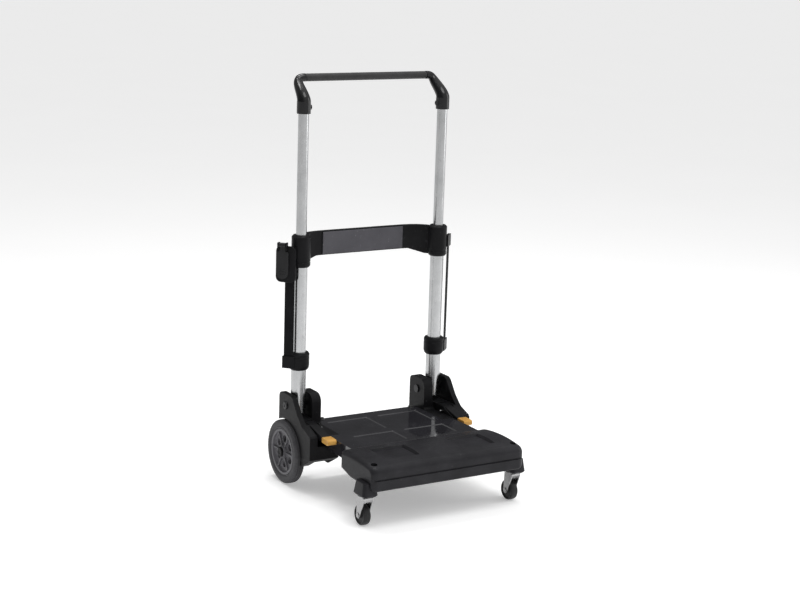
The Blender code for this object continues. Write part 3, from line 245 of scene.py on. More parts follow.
def drawn_metal(name, dark, light, rough, along=(1, 1, 0.012), lines=0.28):
    """Drawn or ground metal: lines along the work, a few handling marks and cloudy oxide."""
    made, tree, shader, place = finish(name, Metallic=1.0)
    streaks = noise(tree, stretched(tree, place, *along), 0.55, 3, 0.6)
    clouds = noise(tree, place, 45, 5, 0.6)
    spots = noise(tree, place, 2.6, 3)
    colour = blend(tree, spread(tree, clouds, 0.3, 0.7, 0, 1), dark, light)
    colour = blend(tree, spread(tree, streaks, 0.3, 0.75, 0, 0.3), colour, dark)
    marks = scratches(tree, place, 5, (1, 1, 0.25))
    colour = blend(tree, maths(tree, "MULTIPLY", marks, 0.25), colour, (0.35, 0.35, 0.36))
    base = spread(tree, clouds, 0.25, 0.75, rough - 0.04, rough + 0.07)
    fine = spread(tree, streaks, 0.3, 0.7, -0.05, 0.06)
    total = maths(tree, "ADD", maths(tree, "ADD", base, fine), maths(tree, "MULTIPLY", marks, 0.12))
    feed(shader, Base_Color=colour, Roughness=total)
    raised(tree, shader, [(streaks, 0.03, lines), (spots, 0.03, 0.2)])
    return made


def rubber(name, dark, light, rough, grain):
    """Rubber: fine pebbled skin, dusty bloom in patches and rubbed edges."""
    pale = (0.1, 0.098, 0.095)
    made, tree, shader, place = finish(name, Specular_IOR_Level=0.25, Sheen_Weight=0.05, Sheen_Roughness=0.6)
    bloom = noise(tree, place, 26, 5, 0.65)
    pebbles = wire(tree, "ShaderNodeTexVoronoi", {"Vector": place, "Scale": 1.1}, feature="SMOOTH_F1")
    fine = noise(tree, place, 0.7, 3)
    colour = blend(tree, spread(tree, bloom, 0.3, 0.72, 0, 1), dark, light)
    colour = blend(tree, maths(tree, "MULTIPLY", rubbed_edges(tree, 1.4 * MM, place), 0.45), colour, pale)
    colour = blend(tree, spread(tree, fine, 0.5, 0.8, 0, 0.12), colour, pale)
    feed(shader, Base_Color=colour, Roughness=spread(tree, bloom, 0.3, 0.7, rough - 0.08, rough + 0.06))
    raised(tree, shader, [(pebbles.outputs["Distance"], 0.12, grain), (fine, 0.05, 0.4)])
    return made


def woven(name):
    """Polyester webbing: the ribs are in the mesh, and this adds the yarns, fuzz and fade."""
    made, tree, shader, place = finish(name, Specular_IOR_Level=0.12, Sheen_Weight=0.04, Sheen_Roughness=0.45)
    weave = {"Vector": place, "Scale": 0.7, "Distortion": 1.5, "Detail": 2, "Detail Scale": 3}
    yarns = wire(tree, "ShaderNodeTexWave", weave, bands_direction="Z").outputs["Fac"]
    fibres = noise(tree, stretched(tree, place, 1, 1, 0.2), 0.35, 3)
    fade = noise(tree, place, 40, 4)
    colour = blend(tree, spread(tree, fade, 0.3, 0.7, 0, 1), *BLACKS)
    colour = blend(tree, spread(tree, fibres, 0.4, 0.8, 0, 0.4), colour, (0.03, 0.03, 0.032))
    feed(shader, Base_Color=colour, Roughness=spread(tree, yarns, 0, 1, 0.72, 0.92))
    raised(tree, shader, [(yarns, 0.15, 0.5), (fibres, 0.08, 0.6)])
    return made


FINISHES = {
    "black_plastic": moulded("black_plastic_look", *BLACKS, 0.34, shine=0.08),
    "grey_plastic": moulded("grey_plastic_look", (0.062, 0.06, 0.069), (0.08, 0.078, 0.088), 0.4, pale=DUSTY),
    "orange_plastic": moulded(
        "amber_plastic_look", (0.52, 0.27, 0.055), (0.62, 0.34, 0.08), 0.32, gloss=0.15,
        pale=(0.75, 0.5, 0.22),
    ),
    "grip_rubber": rubber("grip_rubber_look", (0.016, 0.016, 0.016), (0.030, 0.030, 0.031), 0.48, 0.35),
    "tyre_rubber": rubber("tyre_rubber_look", (0.034, 0.0335, 0.037), (0.066, 0.065, 0.070), 0.62, 0.45),
    "hub_plastic": moulded("hub_plastic_look", (0.105, 0.103, 0.112), (0.15, 0.147, 0.158), 0.34, pale=DUSTY),
    "webbing": woven("webbing_look"),
    "aluminium": drawn_metal("aluminium_look", (0.40, 0.405, 0.41), (0.53, 0.535, 0.54), 0.22),
    "steel": drawn_metal("steel_look", (0.30, 0.30, 0.302), (0.45, 0.45, 0.453), 0.22, ALL_WAYS, 0.15),
}
DECK_GLOSS = moulded(
    "deck_look", (0.015, 0.0145, 0.0175), (0.024, 0.0235, 0.0275), 0.07,
    grain=0.03, shine=0.9, wear=0.2, ripple=0.02,
)
CORNER_GLOSS = moulded(
    "grip_corner_look", (0.004, 0.004, 0.0045), (0.007, 0.007, 0.008), 0.16, 0.1, shine=0.35, ripple=0.04
)
BEAM_SATIN = moulded("beam_look", (0.014, 0.0138, 0.0158), (0.026, 0.0256, 0.029), 0.36, shine=0.12)
CASTER_RUBBER = rubber("caster_rubber_look", (0.007, 0.007, 0.0075), (0.015, 0.015, 0.016), 0.45, 0.2)
BLACK_STEEL = drawn_metal(
    "blackened_steel_look", (0.03, 0.03, 0.031), (0.05, 0.05, 0.052), 0.36, ALL_WAYS, 0.1
)
LEVER_GREY = moulded("lever_look", (0.016, 0.016, 0.017), (0.024, 0.024, 0.025), 0.36)


# ---------------------------------------------------------------- mesh tools


def slot_of(node):
    return frame["nodes"][node].data.materials[0].name


def with_modifiers(bm, steps):
    """The bmesh after these modifiers, each (kind, settings); cutters are bmeshes too."""
    helpers = []

    def as_object(source):
        bmesh.ops.recalc_face_normals(source, faces=source.faces)
        helpers.append(placed("work", mesh_of(source, "work")))
        return helpers[-1]

    base = as_object(bm)
    for i, (kind, settings) in enumerate(steps):
        modifier = base.modifiers.new(f"{kind}_{i}", kind)
        for key, value in settings.items():
            setattr(modifier, key, as_object(value) if isinstance(value, bmesh.types.BMesh) else value)
    graph = bpy.context.evaluated_depsgraph_get()
    mesh = bpy.data.meshes.new_from_object(base.evaluated_get(graph))
    result = bmesh.new()
    result.from_mesh(mesh)
    for made in helpers:
        old = made.data
        bpy.data.objects.remove(made)
        bpy.data.meshes.remove(old)
    bpy.data.meshes.remove(mesh)
    return result


def cut(*cutters):
    return [("BOOLEAN", {"operation": "DIFFERENCE", "solver": "EXACT", "object": c}) for c in cutters]


def join(*lumps):
    return [("BOOLEAN", {"operation": "UNION", "solver": "EXACT", "object": lump}) for lump in lumps]


def tidy(bm):
    """Welds the corners that a Boolean or the frame's file left apart, and merges flat triangles."""
    bmesh.ops.remove_doubles(bm, verts=bm.verts, dist=SAME_POINT)
    bmesh.ops.dissolve_limit(bm, angle_limit=math.radians(0.6), verts=bm.verts, edges=bm.edges)
    bmesh.ops.dissolve_degenerate(bm, edges=bm.edges, dist=SAME_POINT)
    return bm


def rounded(bm, width, segments=3, angle=34):
    """Rounds every edge sharper than the angle, once the mesh is tidy."""
    settings = {
        "width": width,
        "segments": segments,
        "limit_method": "ANGLE",
        "angle_limit": math.radians(angle),
        "miter_outer": "MITER_ARC",
    }
    return with_modifiers(tidy(bm), [("BEVEL", settings)])


def piece(bm, node, look=None, name="shown", slot=None, smooth=38):
    """A shown object that stands for a CAD node, rides on its body and takes its finish."""
    slot = slot or slot_of(node)
    bmesh.ops.recalc_face_normals(bm, faces=bm.faces)
    mesh = mesh_of(bm, f"{node}_{name}")
    mesh.shade_smooth()
    mesh.set_sharp_from_angle(angle=math.radians(smooth))
    mesh.materials.append(look or FINISHES[slot])
    obj = placed(mesh.name, mesh)
    even = obj.modifiers.new("even_shading", "WEIGHTED_NORMAL")
    even.keep_sharp = True
    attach(obj, frame["nodes"][node]["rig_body"])
    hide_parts(node)
    return obj


def skin(rings):
    """A closed body through rings of equally many points, with a face across each end."""
    bm = bmesh.new()
    rows = [[bm.verts.new(point) for point in ring] for ring in rings]
    for low, high in zip(rows, rows[1:]):
        for i in range(len(low)):
            j = (i + 1) % len(low)
            bm.faces.new((low[i], low[j], high[j], high[i]))
    bm.faces.new(rows[0])
    bm.faces.new(rows[-1])
    return bm


def oblong(x, y):
    """The corners of a rectangle between two places on each axis."""
    return ((x[0], y[0]), (x[1], y[0]), (x[1], y[1]), (x[0], y[1]))


def box(low, high):
    corners = oblong((low[0], high[0]), (low[1], high[1]))
    return skin([[(x, y, z) for x, y in corners] for z in (low[2], high[2])])


def side_box(side, x, y, z):
    near, far = sorted((side * x[0], side * x[1]))
    return box((near, y[0], z[0]), (far, y[1], z[1]))


def side_prism(side, near, far, outline):
    return skin([[(side * x, y, z) for y, z in outline] for x in (near, far)])


def lathe(profile, centre, axis="Z", steps=STEPS):
    """Spins an outline of (radius, height) points; one that starts and ends on the axis stays open."""
    bm = bmesh.new()
    verts = [bm.verts.new((r, 0, height)) for r, height in profile]
    closed = not (profile[0][0] == 0 and profile[-1][0] == 0)
    ends = verts[1:] + verts[:1] if closed else verts[1:]
    edges = [bm.edges.new(pair) for pair in zip(verts, ends)]
    bmesh.ops.spin(
        bm, geom=verts + edges, cent=(0, 0, 0), axis=(0, 0, 1), angle=math.tau, steps=steps, use_merge=True
    )
    bmesh.ops.remove_doubles(bm, verts=bm.verts, dist=0.1 * SAME_POINT)
    if axis == "X":
        bmesh.ops.rotate(bm, verts=bm.verts, matrix=Matrix.Rotation(math.pi / 2, 3, "Y"))
    bmesh.ops.translate(bm, verts=bm.verts, vec=centre)
    return bm


def rod(r, low, high):
    return [(0, low), (r, low), (r, high), (0, high)]


def arc(centre, r, start, end, steps):
    """Points along an arc in a plane, in degrees."""
    turns = [math.radians(start + (end - start) * i / steps) for i in range(steps + 1)]
    return [(centre[0] + r * math.cos(t), centre[1] + r * math.sin(t)) for t in turns]


def mirrored(side, profile):
    return [(r, side * height) for r, height in profile]


def both_ends(profile):
    return profile + [(r, -height) for r, height in reversed(profile)]


def upright(side):
    return (side * TUBE_X, MAST_Y, 0)


def refined(node, look=None):
    """The CAD node's own shape, welded, with its edges rounded."""
    bm = bmesh.new()
    bm.from_mesh(frame["nodes"][node].data)
    piece(rounded(bm, 0.8 * MM), node, look)


# ---------------------------------------------------------------- uprights


def tube(node, side, wall, lip, bores=()):
    """Drawn tube whose mouth is rolled in at both ends."""
    low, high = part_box(node)
    outer = (high.x - low.x) / 2
    inner = outer - wall
    profile = [
        *arc((outer - lip, low.z + lip), lip, 0, -90, 5)[::-1],
        *arc((outer - lip, high.z - lip), lip, 0, 90, 5),
        *arc((inner + lip / 2, high.z - lip / 2), lip / 2, 90, 180, 3),
        *arc((inner + lip / 2, low.z + lip / 2), lip / 2, 180, 270, 3),
    ]
    bm = lathe(profile, upright(side))
    if bores:
        bm = tidy(with_modifiers(bm, cut(*bores)))
    piece(bm, node)


LOWER_WALL = 1.6 * MM
MIDDLE_WALL = 2 * MM
PIN_R = 6.3 * MM
BORE_REACH = 0.3  # half the length of a cutter through both sides of the cart


def across_bore(r, z):
    return lathe(rod(r, -BORE_REACH, BORE_REACH), (0, MAST_Y, z), "X", 48)


for name, side in SIDES:
    tube(f"lower_tube_{name}", side, LOWER_WALL, 0.7 * MM, [across_bore(PIN_R, PIVOT_Z)])
    tube(f"middle_tube_{name}", side, MIDDLE_WALL, 0.8 * MM)
    tube(f"upper_tube_{name}", side, LOWER_WALL, 0.7 * MM)


# ---------------------------------------------------------------- rear wheels

RIM_R = 58 * MM
AXLE_R = 6.3 * MM
TREAD_STEPS = 3  # between one shoulder slot and the next
TREAD_SLOTS = 64
SLOT_DEPTH = 1.6 * MM
GROOVES = (-6.2 * MM, 0, 6.2 * MM)
GROOVE_HALF = 1.1 * MM
GROOVE_DEPTH = 1.8 * MM


def crown_radius(across):
    """Radius of the tread at a distance from its middle: nearly flat, then round over the shoulder."""
    share = min(1, abs(across) / (WHEEL_WIDTH / 2))
    return WHEEL_R - 0.8 * MM * share**2 - 7.4 * MM * share**7


def tyre_section():
    """(radius, across, slotted) points of the tyre from its inner seat round the tread and back."""
    half = WHEEL_WIDTH / 2
    seat = half - 2 * MM
    wall = [(RIM_R, seat - 0.6 * MM), (RIM_R + 0.6 * MM, seat), (RIM_R + 3 * MM, seat + 1.1 * MM)]
    wall += [(RIM_R + 4.2 * MM, seat + 1.9 * MM), (RIM_R + 5.4 * MM, seat + 1.1 * MM), (RIM_R + 9 * MM, half)]
    shoulder = [half - in_by * MM for in_by in (0.25, 0.9, 2, 3.4, 4.4)]
    spots = list(shoulder)
    for groove in (GROOVES[2], GROOVES[1], GROOVES[0]):
        spots += [groove + s * GROOVE_HALF for s in (1.5, 1, -1, -1.5)]
    spots += [-s for s in reversed(shoulder)]
    points = [(r, -a, False) for r, a in wall]
    for spot in reversed(spots):
        inside = any(abs(spot - groove) < 1.2 * GROOVE_HALF for groove in GROOVES)
        slotted = abs(spot) > GROOVES[2] + 1.6 * GROOVE_HALF and abs(spot) < half - 0.5 * MM
        points.append((crown_radius(spot) - (GROOVE_DEPTH if inside else 0), spot, slotted))
    return points + [(r, a, False) for r, a in reversed(wall)]


def tyre(name, side):
    node = f"rear_tyre_{name}"
    section = tyre_section()
    steps = TREAD_SLOTS * TREAD_STEPS
    bm = bmesh.new()
    rows = []
    for i in range(steps):
        turn = math.tau * i / steps
        deep = SLOT_DEPTH if i % TREAD_STEPS == 0 else 0
        row = []
        for r, across, slotted in section:
            out = r - (deep if slotted else 0)
            y, z = MAST_Y + out * math.sin(turn), WHEEL_R + out * math.cos(turn)
            row.append(bm.verts.new((side * WHEEL_X + across, y, z)))
        rows.append(row)
    for i, row in enumerate(rows):
        after = rows[(i + 1) % steps]
        for j in range(len(row)):
            k = (j + 1) % len(row)
            bm.faces.new((row[j], row[k], after[k], after[j]))
    piece(bm, node, smooth=32)


HUB_HOLES = 6
HUB_HOLE_R = 9 * MM
RIB_BOX = (9 * MM, 1.5 * MM, 14 * MM, 52 * MM)  # half across, half thick, from and to this radius


def hub(name, side):
    """Dished hub: a boss and a rim joined by a pierced web with a rib on each side between the holes."""
    node = f"rear_hub_{name}"
    place = (side * WHEEL_X, MAST_Y, WHEEL_R)
    half = WHEEL_WIDTH / 2
    seat = half - 2 * MM
    web = 4.2 * MM
    rim = RIM_R - GAP
    profile = both_ends([
        (AXLE_R, -half), (14.4 * MM, -half), (15 * MM, -half + 0.6 * MM), (16.2 * MM, -web - 1.5 * MM),
        (18 * MM, -web), (48.5 * MM, -web), (50.7 * MM, -web - 2 * MM), (51.4 * MM, -seat + 0.8 * MM),
        (52.2 * MM, -seat), (rim - 0.5 * MM, -seat), (rim, -seat + 0.5 * MM),
    ])
    between = 32.5 * MM  # the middle of the web
    holes = []
    ribs = []
    for i in range(HUB_HOLES):
        turn = math.tau * i / HUB_HOLES
        spot = (place[0], place[1] + between * math.sin(turn), place[2] + between * math.cos(turn))
        holes.append(lathe(rod(HUB_HOLE_R, -WHEEL_WIDTH, WHEEL_WIDTH), spot, "X", 40))
        across, thick, start, end = RIB_BOX
        rib = box((-across, -thick, start), (across, thick, end))
        turned = Matrix.Rotation(-(turn + math.pi / HUB_HOLES), 3, "X")
        bmesh.ops.rotate(rib, verts=rib.verts, matrix=turned)
        bmesh.ops.translate(rib, verts=rib.verts, vec=place)
        ribs.append(rib)
    bm = with_modifiers(lathe(profile, place, "X"), join(*ribs) + cut(*holes))
    piece(rounded(bm, 0.9 * MM, 2, 38), node)


for name, side in SIDES:
    tyre(name, side)
    hub(name, side)


# ---------------------------------------------------------------- deck

DECK_SKIN = 4 * MM
DECK_REAR_HALF = HOUSING_LOW.x - GAP
DECK_STEP = HOUSING_LOW.y - GAP
POCKET_DEPTH = 1.6 * MM
POCKET_DRAFT = 1 * MM
POCKET_X = (16 * MM, HOUSING_LOW.x - 22 * MM)
REAR_POCKET = (HOUSING_LOW.y, DECK_HIGH.y - 36 * MM)
FRONT_POCKET = (DECK_LOW.y + 15 * MM, HOUSING_LOW.y - 30 * MM)
RIB_HEIGHT = 11 * MM
RIB_HALF = 1.2 * MM
RIB_PITCH = 47 * MM


def frustum(side, x, y, z):
    """A side box whose walls lean out by POCKET_DRAFT over POCKET_DEPTH."""
    rings = []
    mouth = POCKET_DRAFT * (z[1] - z[0]) / POCKET_DEPTH - POCKET_DRAFT
    for level, grow in ((z[0], -POCKET_DRAFT), (z[1], mouth)):
        corners = oblong((x[0] - grow, x[1] + grow), (y[0] - grow, y[1] + grow))
        rings.append([(side * px, py, level) for px, py in corners])
    return skin(rings)


def cells(low, high, pitch):
    """Even spans between two numbers with a rib's thickness left between them."""
    count = max(1, round((high - low) / pitch))
    step = (high - low) / count
    return [(low + step * i + RIB_HALF, low + step * (i + 1) - RIB_HALF) for i in range(count)]


def deck():
    plan = [
        (-DECK_REAR_HALF, DECK_HIGH.y), (-DECK_REAR_HALF, DECK_STEP), (DECK_LOW.x, DECK_STEP),
        (DECK_LOW.x, DECK_LOW.y), (DECK_HIGH.x, DECK_LOW.y), (DECK_HIGH.x, DECK_STEP),
        (DECK_REAR_HALF, DECK_STEP), (DECK_REAR_HALF, DECK_HIGH.y),
    ]
    slab = skin([[(x, y, z) for x, y in plan] for z in (DECK_LOW.z, DECK_TOP)])
    roof = DECK_TOP - POCKET_DEPTH - DECK_SKIN
    below = (DECK_LOW.z - DECK_SKIN, roof - RIB_HEIGHT)
    cutters = []
    for _, side in SIDES:
        zones = (
            ((DECK_SKIN / 2, DECK_REAR_HALF - DECK_SKIN), (DECK_STEP + DECK_SKIN, DECK_HIGH.y - DECK_SKIN)),
            ((DECK_SKIN / 2, DECK_HIGH.x - DECK_SKIN), (DECK_LOW.y + DECK_SKIN, DECK_STEP - DECK_SKIN)),
        )
        for x, y in zones:
            cutters.append(side_box(side, x, y, below))
            for across in cells(*x, RIB_PITCH):
                for along in cells(*y, RIB_PITCH):
                    cutters.append(side_box(side, across, along, (below[1] - DECK_SKIN, roof)))
        for span in (REAR_POCKET, FRONT_POCKET):
            cutters.append(frustum(side, POCKET_X, span, (DECK_TOP - POCKET_DEPTH, DECK_TOP + POCKET_DEPTH)))
    bm = with_modifiers(slab, cut(*cutters))
    piece(rounded(bm, 1.5 * MM, 3), "deck", DECK_GLOSS)


deck()


# ---------------------------------------------------------------- front beam

BEAM_LOW, BEAM_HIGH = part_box("front_beam")
BEAM_HALF = TUBE_X + 15 * MM
BEAM_BOTTOM = DECK_TOP - 59 * MM
BEAM_CROWN = 6 * MM
BEAM_NOSE = 16 * MM
BEAM_TOE = 6 * MM
BEAM_KEEL = (45 * MM, 4 * MM)
BEAM_HEEL = 17 * MM
BEAM_END = (16 * MM, 10 * MM)  # length and depth of the rounding at each end
GROOVE = (DECK_TOP - 33 * MM, DECK_TOP - 28 * MM)
GROOVE_IN = 3.4 * MM
FOOT_SPAN = (BEAM_LOW.y + 43 * MM, BEAM_HIGH.y - 39 * MM)
FOOT_X = (62 * MM, BEAM_HALF - 61 * MM)
CORNER_HOLE_R = 8 * MM
CASTER_X = middle("caster_stem_right").x
CASTER_Y = middle("caster_stem_right").y
POD_HALF = (19.5, 27)  # millimetres
POD_GROWTH = ((0, -2.6), (0.8, -1.6), (4, 1), (34, -3))  # millimetres above its bottom, and growth


def beam_outline():
    """Side outline of the beam as (y, z), from its rear edge over the crowned top and back below."""
    low, high = BEAM_LOW.y, BEAM_HIGH.y
    span = high - (low + BEAM_NOSE)
    top = []
    for i in range(28):
        share = i / 28
        top.append((high - span * share, DECK_TOP + BEAM_CROWN * math.sin(math.pi * share) ** 0.8))
    front = arc((low + BEAM_NOSE, DECK_TOP - BEAM_NOSE), BEAM_NOSE, 90, 180, 12)
    toe = arc((low + BEAM_TOE, BEAM_BOTTOM + BEAM_TOE), BEAM_TOE, 180, 270, 6)
    keel = (high - BEAM_KEEL[0], BEAM_BOTTOM + BEAM_KEEL[1])
    return top + front + toe + [keel, (high, BEAM_BOTTOM + BEAM_HEEL)]


def rounded_rectangle(centre, half_wide, half_high, corner, steps=8):
    points = []
    for quarter, (across, up) in enumerate(((1, 1), (-1, 1), (-1, -1), (1, -1))):
        middle_of = (centre[0] + across * (half_wide - corner), centre[1] + up * (half_high - corner))
        points += arc(middle_of, corner, 90 * quarter, 90 * quarter + 90, steps)
    return points


def front_beam():
    outline = beam_outline()
    centre = ((BEAM_LOW.y + BEAM_HIGH.y) / 2, (BEAM_BOTTOM + DECK_TOP) / 2)
    half = []
    for i in range(11):
        turn = math.radians(90 * i / 10)
        inset, shrink = BEAM_END[0] * (1 - math.cos(turn)), BEAM_END[1] * (1 - math.sin(turn))
        along = 1 - shrink / (centre[0] - BEAM_LOW.y)
        up = 1 - shrink / (DECK_TOP - centre[1])
        ring = [(centre[0] + (y - centre[0]) * along, centre[1] + (z - centre[1]) * up) for y, z in outline]
        half.append((BEAM_HALF - inset, ring))
    stations = [(-x, ring) for x, ring in half] + list(reversed(half))
    bm = skin([[(x, y, z) for y, z in ring] for x, ring in stations])
    pods, cutters = [], []
    for _, side in SIDES:
        rings = []
        for height, grow in POD_GROWTH:
            wide, long = ((half_size + grow) * MM for half_size in POD_HALF)
            flat = rounded_rectangle((side * CASTER_X, CASTER_Y), wide, long, 10 * MM)
            rings.append([(x, y, BEAM_LOW.z + height * MM) for x, y in flat])
        pods.append(skin(rings))
        cutters.append(
            side_box(
                side,
                (DECK_SKIN, CASTER_X - POD_HALF[0] * MM - DECK_SKIN),
                (BEAM_LOW.y + BEAM_NOSE, BEAM_HIGH.y - 2 * DECK_SKIN),
                (BEAM_LOW.z - DECK_SKIN, DECK_TOP - BEAM_NOSE),
            )
        )
        cutters.append(frustum(side, FOOT_X, FOOT_SPAN, (DECK_TOP - 1 * MM, DECK_TOP + 12 * MM)))
        spot = (side * (BEAM_HALF - 17 * MM), BEAM_LOW.y + 25 * MM, 0)
        hole = [(0, DECK_TOP - 16 * MM), (6.6 * MM, DECK_TOP - 16 * MM), (CORNER_HOLE_R, DECK_TOP - 6 * MM)]
        hole += [(CORNER_HOLE_R, DECK_TOP + 16 * MM), (0, DECK_TOP + 16 * MM)]
        cutters.append(lathe(hole, spot, steps=48))
    reach = BEAM_HALF + DECK_SKIN
    front = BEAM_LOW.y
    cutters.append(box((-reach, front - DECK_SKIN, GROOVE[0]), (reach, front + GROOVE_IN, GROOVE[1])))
    bm = with_modifiers(bm, join(*pods) + cut(*cutters))
    piece(rounded(bm, 1.1 * MM, 3, 30), "front_beam", BEAM_SATIN)


front_beam()


# ---------------------------------------------------------------- hinge housings

HOUSING_WALL = 5 * MM
CHEEK_TOP = HOUSING_HIGH.z
SLOT_FLOOR = PIVOT_Z - LOWER_R - 11 * MM
SLOT_HALF = LOWER_R + 1.5 * MM
ARCH_INNER = TYRE_LOW.x - 1 * MM
ARCH_R = WHEEL_R + 3 * MM
PEDAL_LOW, PEDAL_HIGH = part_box("fold_pedal_right")
PEDAL_X = (PEDAL_LOW.x + PEDAL_HIGH.x) / 2
PEDAL_HALF = (PEDAL_HIGH.x - PEDAL_LOW.x) / 2
PEDAL_PIN_Y = middle("pedal_pin_right").y
PEDAL_PIN_Z = middle("pedal_pin_right").z
PEDAL_PIN_R = 3.3 * MM


def housing_outline():
    """Side outline of a hinge housing as (y, z), from its rear foot over the cheek."""
    low, high = HOUSING_LOW, HOUSING_HIGH
    chin = low.y + 4 * MM
    return [
        (high.y, low.z),
        *arc((high.y - 14 * MM, high.z - 14 * MM), 14 * MM, 0, 90, 10),
        *arc((MAST_Y - 22 * MM, high.z - 20 * MM), 20 * MM, 90, 145, 9),
        (MAST_Y - 62 * MM, PIVOT_Z - 10 * MM), (MAST_Y - 88 * MM, DECK_TOP + 15 * MM),
        (chin, DECK_TOP + 2 * MM), (low.y, DECK_TOP - 3 * MM), (low.y, DECK_TOP - 58 * MM),
        (chin + 4 * MM, DECK_TOP - 64 * MM), (MAST_Y - 84 * MM, low.z),
    ]


def cheek_front_outline():
    """What is cut from the front of the inner cheek, so that the deck stays clear."""
    shoulder = (MAST_Y - 14 * MM, CHEEK_TOP - 22 * MM)
    foot = (MAST_Y - 44 * MM, DECK_TOP + 8 * MM)
    before = HOUSING_LOW.y - DECK_SKIN
    return [
        *arc(shoulder, 22 * MM, 90, 180, 12),
        *arc(foot, 8 * MM, 0, -90, 6),
        (before, DECK_TOP),
        (before, CHEEK_TOP + DECK_SKIN),
        (shoulder[0], CHEEK_TOP + DECK_SKIN),
    ]


def hinge_housing(name, side):
    node = f"hinge_housing_{name}"
    inner, outer = HOUSING_LOW.x, HOUSING_HIGH.x
    before = HOUSING_LOW.y - DECK_SKIN
    well_half = PEDAL_HALF + 1.5 * MM
    well_floor = DECK_TOP - 25 * MM
    cutters = [
        lathe(mirrored(side, rod(ARCH_R, ARCH_INNER, outer + 12 * MM)), (0, MAST_Y, WHEEL_R), "X", 144),
        side_box(
            side,
            (TUBE_X - SLOT_HALF, TUBE_X + SLOT_HALF),
            (before, HOUSING_HIGH.y + DECK_SKIN),
            (SLOT_FLOOR, CHEEK_TOP + 12 * MM),
        ),
        side_box(
            side,
            (PEDAL_X - well_half, PEDAL_X + well_half),
            (before, PEDAL_HIGH.y + 6 * MM),
            (well_floor, SLOT_FLOOR + DECK_SKIN),
        ),
        side_box(
            side,
            (inner + HOUSING_WALL, ARCH_INNER - HOUSING_WALL),
            (HOUSING_LOW.y + 15 * MM, HOUSING_HIGH.y - HOUSING_WALL),
            (HOUSING_LOW.z - DECK_SKIN, well_floor - 7 * MM),
        ),
        side_prism(side, inner - DECK_SKIN, TUBE_X - SLOT_HALF + DECK_SKIN, cheek_front_outline()),
        across_bore(PIN_R, PIVOT_Z),
        across_bore(AXLE_R, WHEEL_R),
        lathe(
            mirrored(side, rod(PEDAL_PIN_R, PEDAL_LOW.x - 12.3 * MM, ARCH_INNER + DECK_SKIN)),
            (0, PEDAL_PIN_Y, PEDAL_PIN_Z),
            "X",
            32,
        ),
    ]
    bm = with_modifiers(side_prism(side, inner, outer, housing_outline()), cut(*cutters))
    piece(rounded(bm, 1.7 * MM, 3, 30), node)


for name, side in SIDES:
    hinge_housing(name, side)


# ---------------------------------------------------------------- crossbar

BAR_LOW_Z, BAR_HIGH_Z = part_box("crossbar")[0].z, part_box("crossbar")[1].z
CLAMP_R = MIDDLE_R + 6.5 * MM
BAR_THICK = 13 * MM
BAR_BOW = 48 * MM
BOW_POWER = 8
GUSSET_DROP = 13 * MM
GUSSET_START = TUBE_X - 64 * MM
PLATE_LOW, PLATE_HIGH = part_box("crossbar_plate")
PLATE_THICK = 3 * MM


def bow(x):
    return MAST_Y - BAR_THICK / 2 + BAR_BOW * (1 - abs(x / TUBE_X) ** BOW_POWER)


def bow_spots(half, steps):
    shares = [2 * i / steps - 1 for i in range(steps + 1)]
    return [half * math.copysign(abs(share) ** 0.6, share) for share in shares]


def gusset_low(x):
    share = max(0, (abs(x) - GUSSET_START) / (TUBE_X - CLAMP_R - GUSSET_START))
    return BAR_LOW_Z + GUSSET_DROP * (1 - min(1, share))


def bowed_strip(half, spans, front, thick, low_at, high):
    rings = []
    for x in bow_spots(half, spans):
        near = bow(x) + front
        low = low_at(x)
        rings.append([(x, near, low), (x, near, high), (x, near + thick, high), (x, near + thick, low)])
    return skin(rings)


def crossbar():
    strip = bowed_strip(TUBE_X, 72, 0, BAR_THICK, gusset_low, BAR_HIGH_Z)
    height = (BAR_LOW_Z - 8 * MM, BAR_HIGH_Z + 4 * MM)
    cutters = []
    for _, side in SIDES:
        cutters.append(lathe(rod(CLAMP_R + GAP, *height), upright(side)))
        beyond = (TUBE_X - CLAMP_R / 2, TUBE_X + CLAMP_R)
        cutters.append(side_box(side, beyond, (MAST_Y - 2 * CLAMP_R, MAST_Y + 3 * CLAMP_R), height))
    piece(rounded(with_modifiers(strip, cut(*cutters)), 2 * MM, 3, 50), "crossbar")
    low, high = PLATE_LOW.z, PLATE_HIGH.z
    plate = bowed_strip(PLATE_HIGH.x, 40, -GAP - PLATE_THICK, PLATE_THICK, lambda x: low, high)
    piece(rounded(plate, 1 * MM, 3, 50), "crossbar_plate")


crossbar()


# ---------------------------------------------------------------- handle

SOCKET = 31.3 * MM
LEG_STRAIGHT = 28 * MM
KNEE_IN = 4 * MM
KNEE_SHARE = 0.82
KNEE_BELOW_BAR = 14 * MM
KNEE_LEAN = (2 * MM, 9 * MM, 10 * MM)
CORNER_SPANS = 18
CORNER_SIDES = 48
BUTTON_R = 7.3 * MM


def grip_path(side):
    foot = Vector((side * TUBE_X, MAST_Y, LEG_BOTTOM))
    start = foot + Vector((0, 0, LEG_STRAIGHT))
    back = BAR_PLACE.y - MAST_Y
    knee = Vector((side * (TUBE_X - KNEE_IN), MAST_Y + back * KNEE_SHARE, BAR_PLACE.z - KNEE_BELOW_BAR))
    end = Vector((side * (BAR_HIGH.x + GAP), BAR_PLACE.y, BAR_PLACE.z))
    lean = Vector((-side * KNEE_LEAN[0], KNEE_LEAN[1], KNEE_LEAN[2]))
    first = interpolate_bezier(start, start + Vector((0, 0, 12 * MM)), knee - lean, knee, CORNER_SPANS)
    second = interpolate_bezier(knee, knee + lean, end + Vector((side * 16 * MM, 0, 0)), end, CORNER_SPANS)
    return [foot] + first + second[1:]


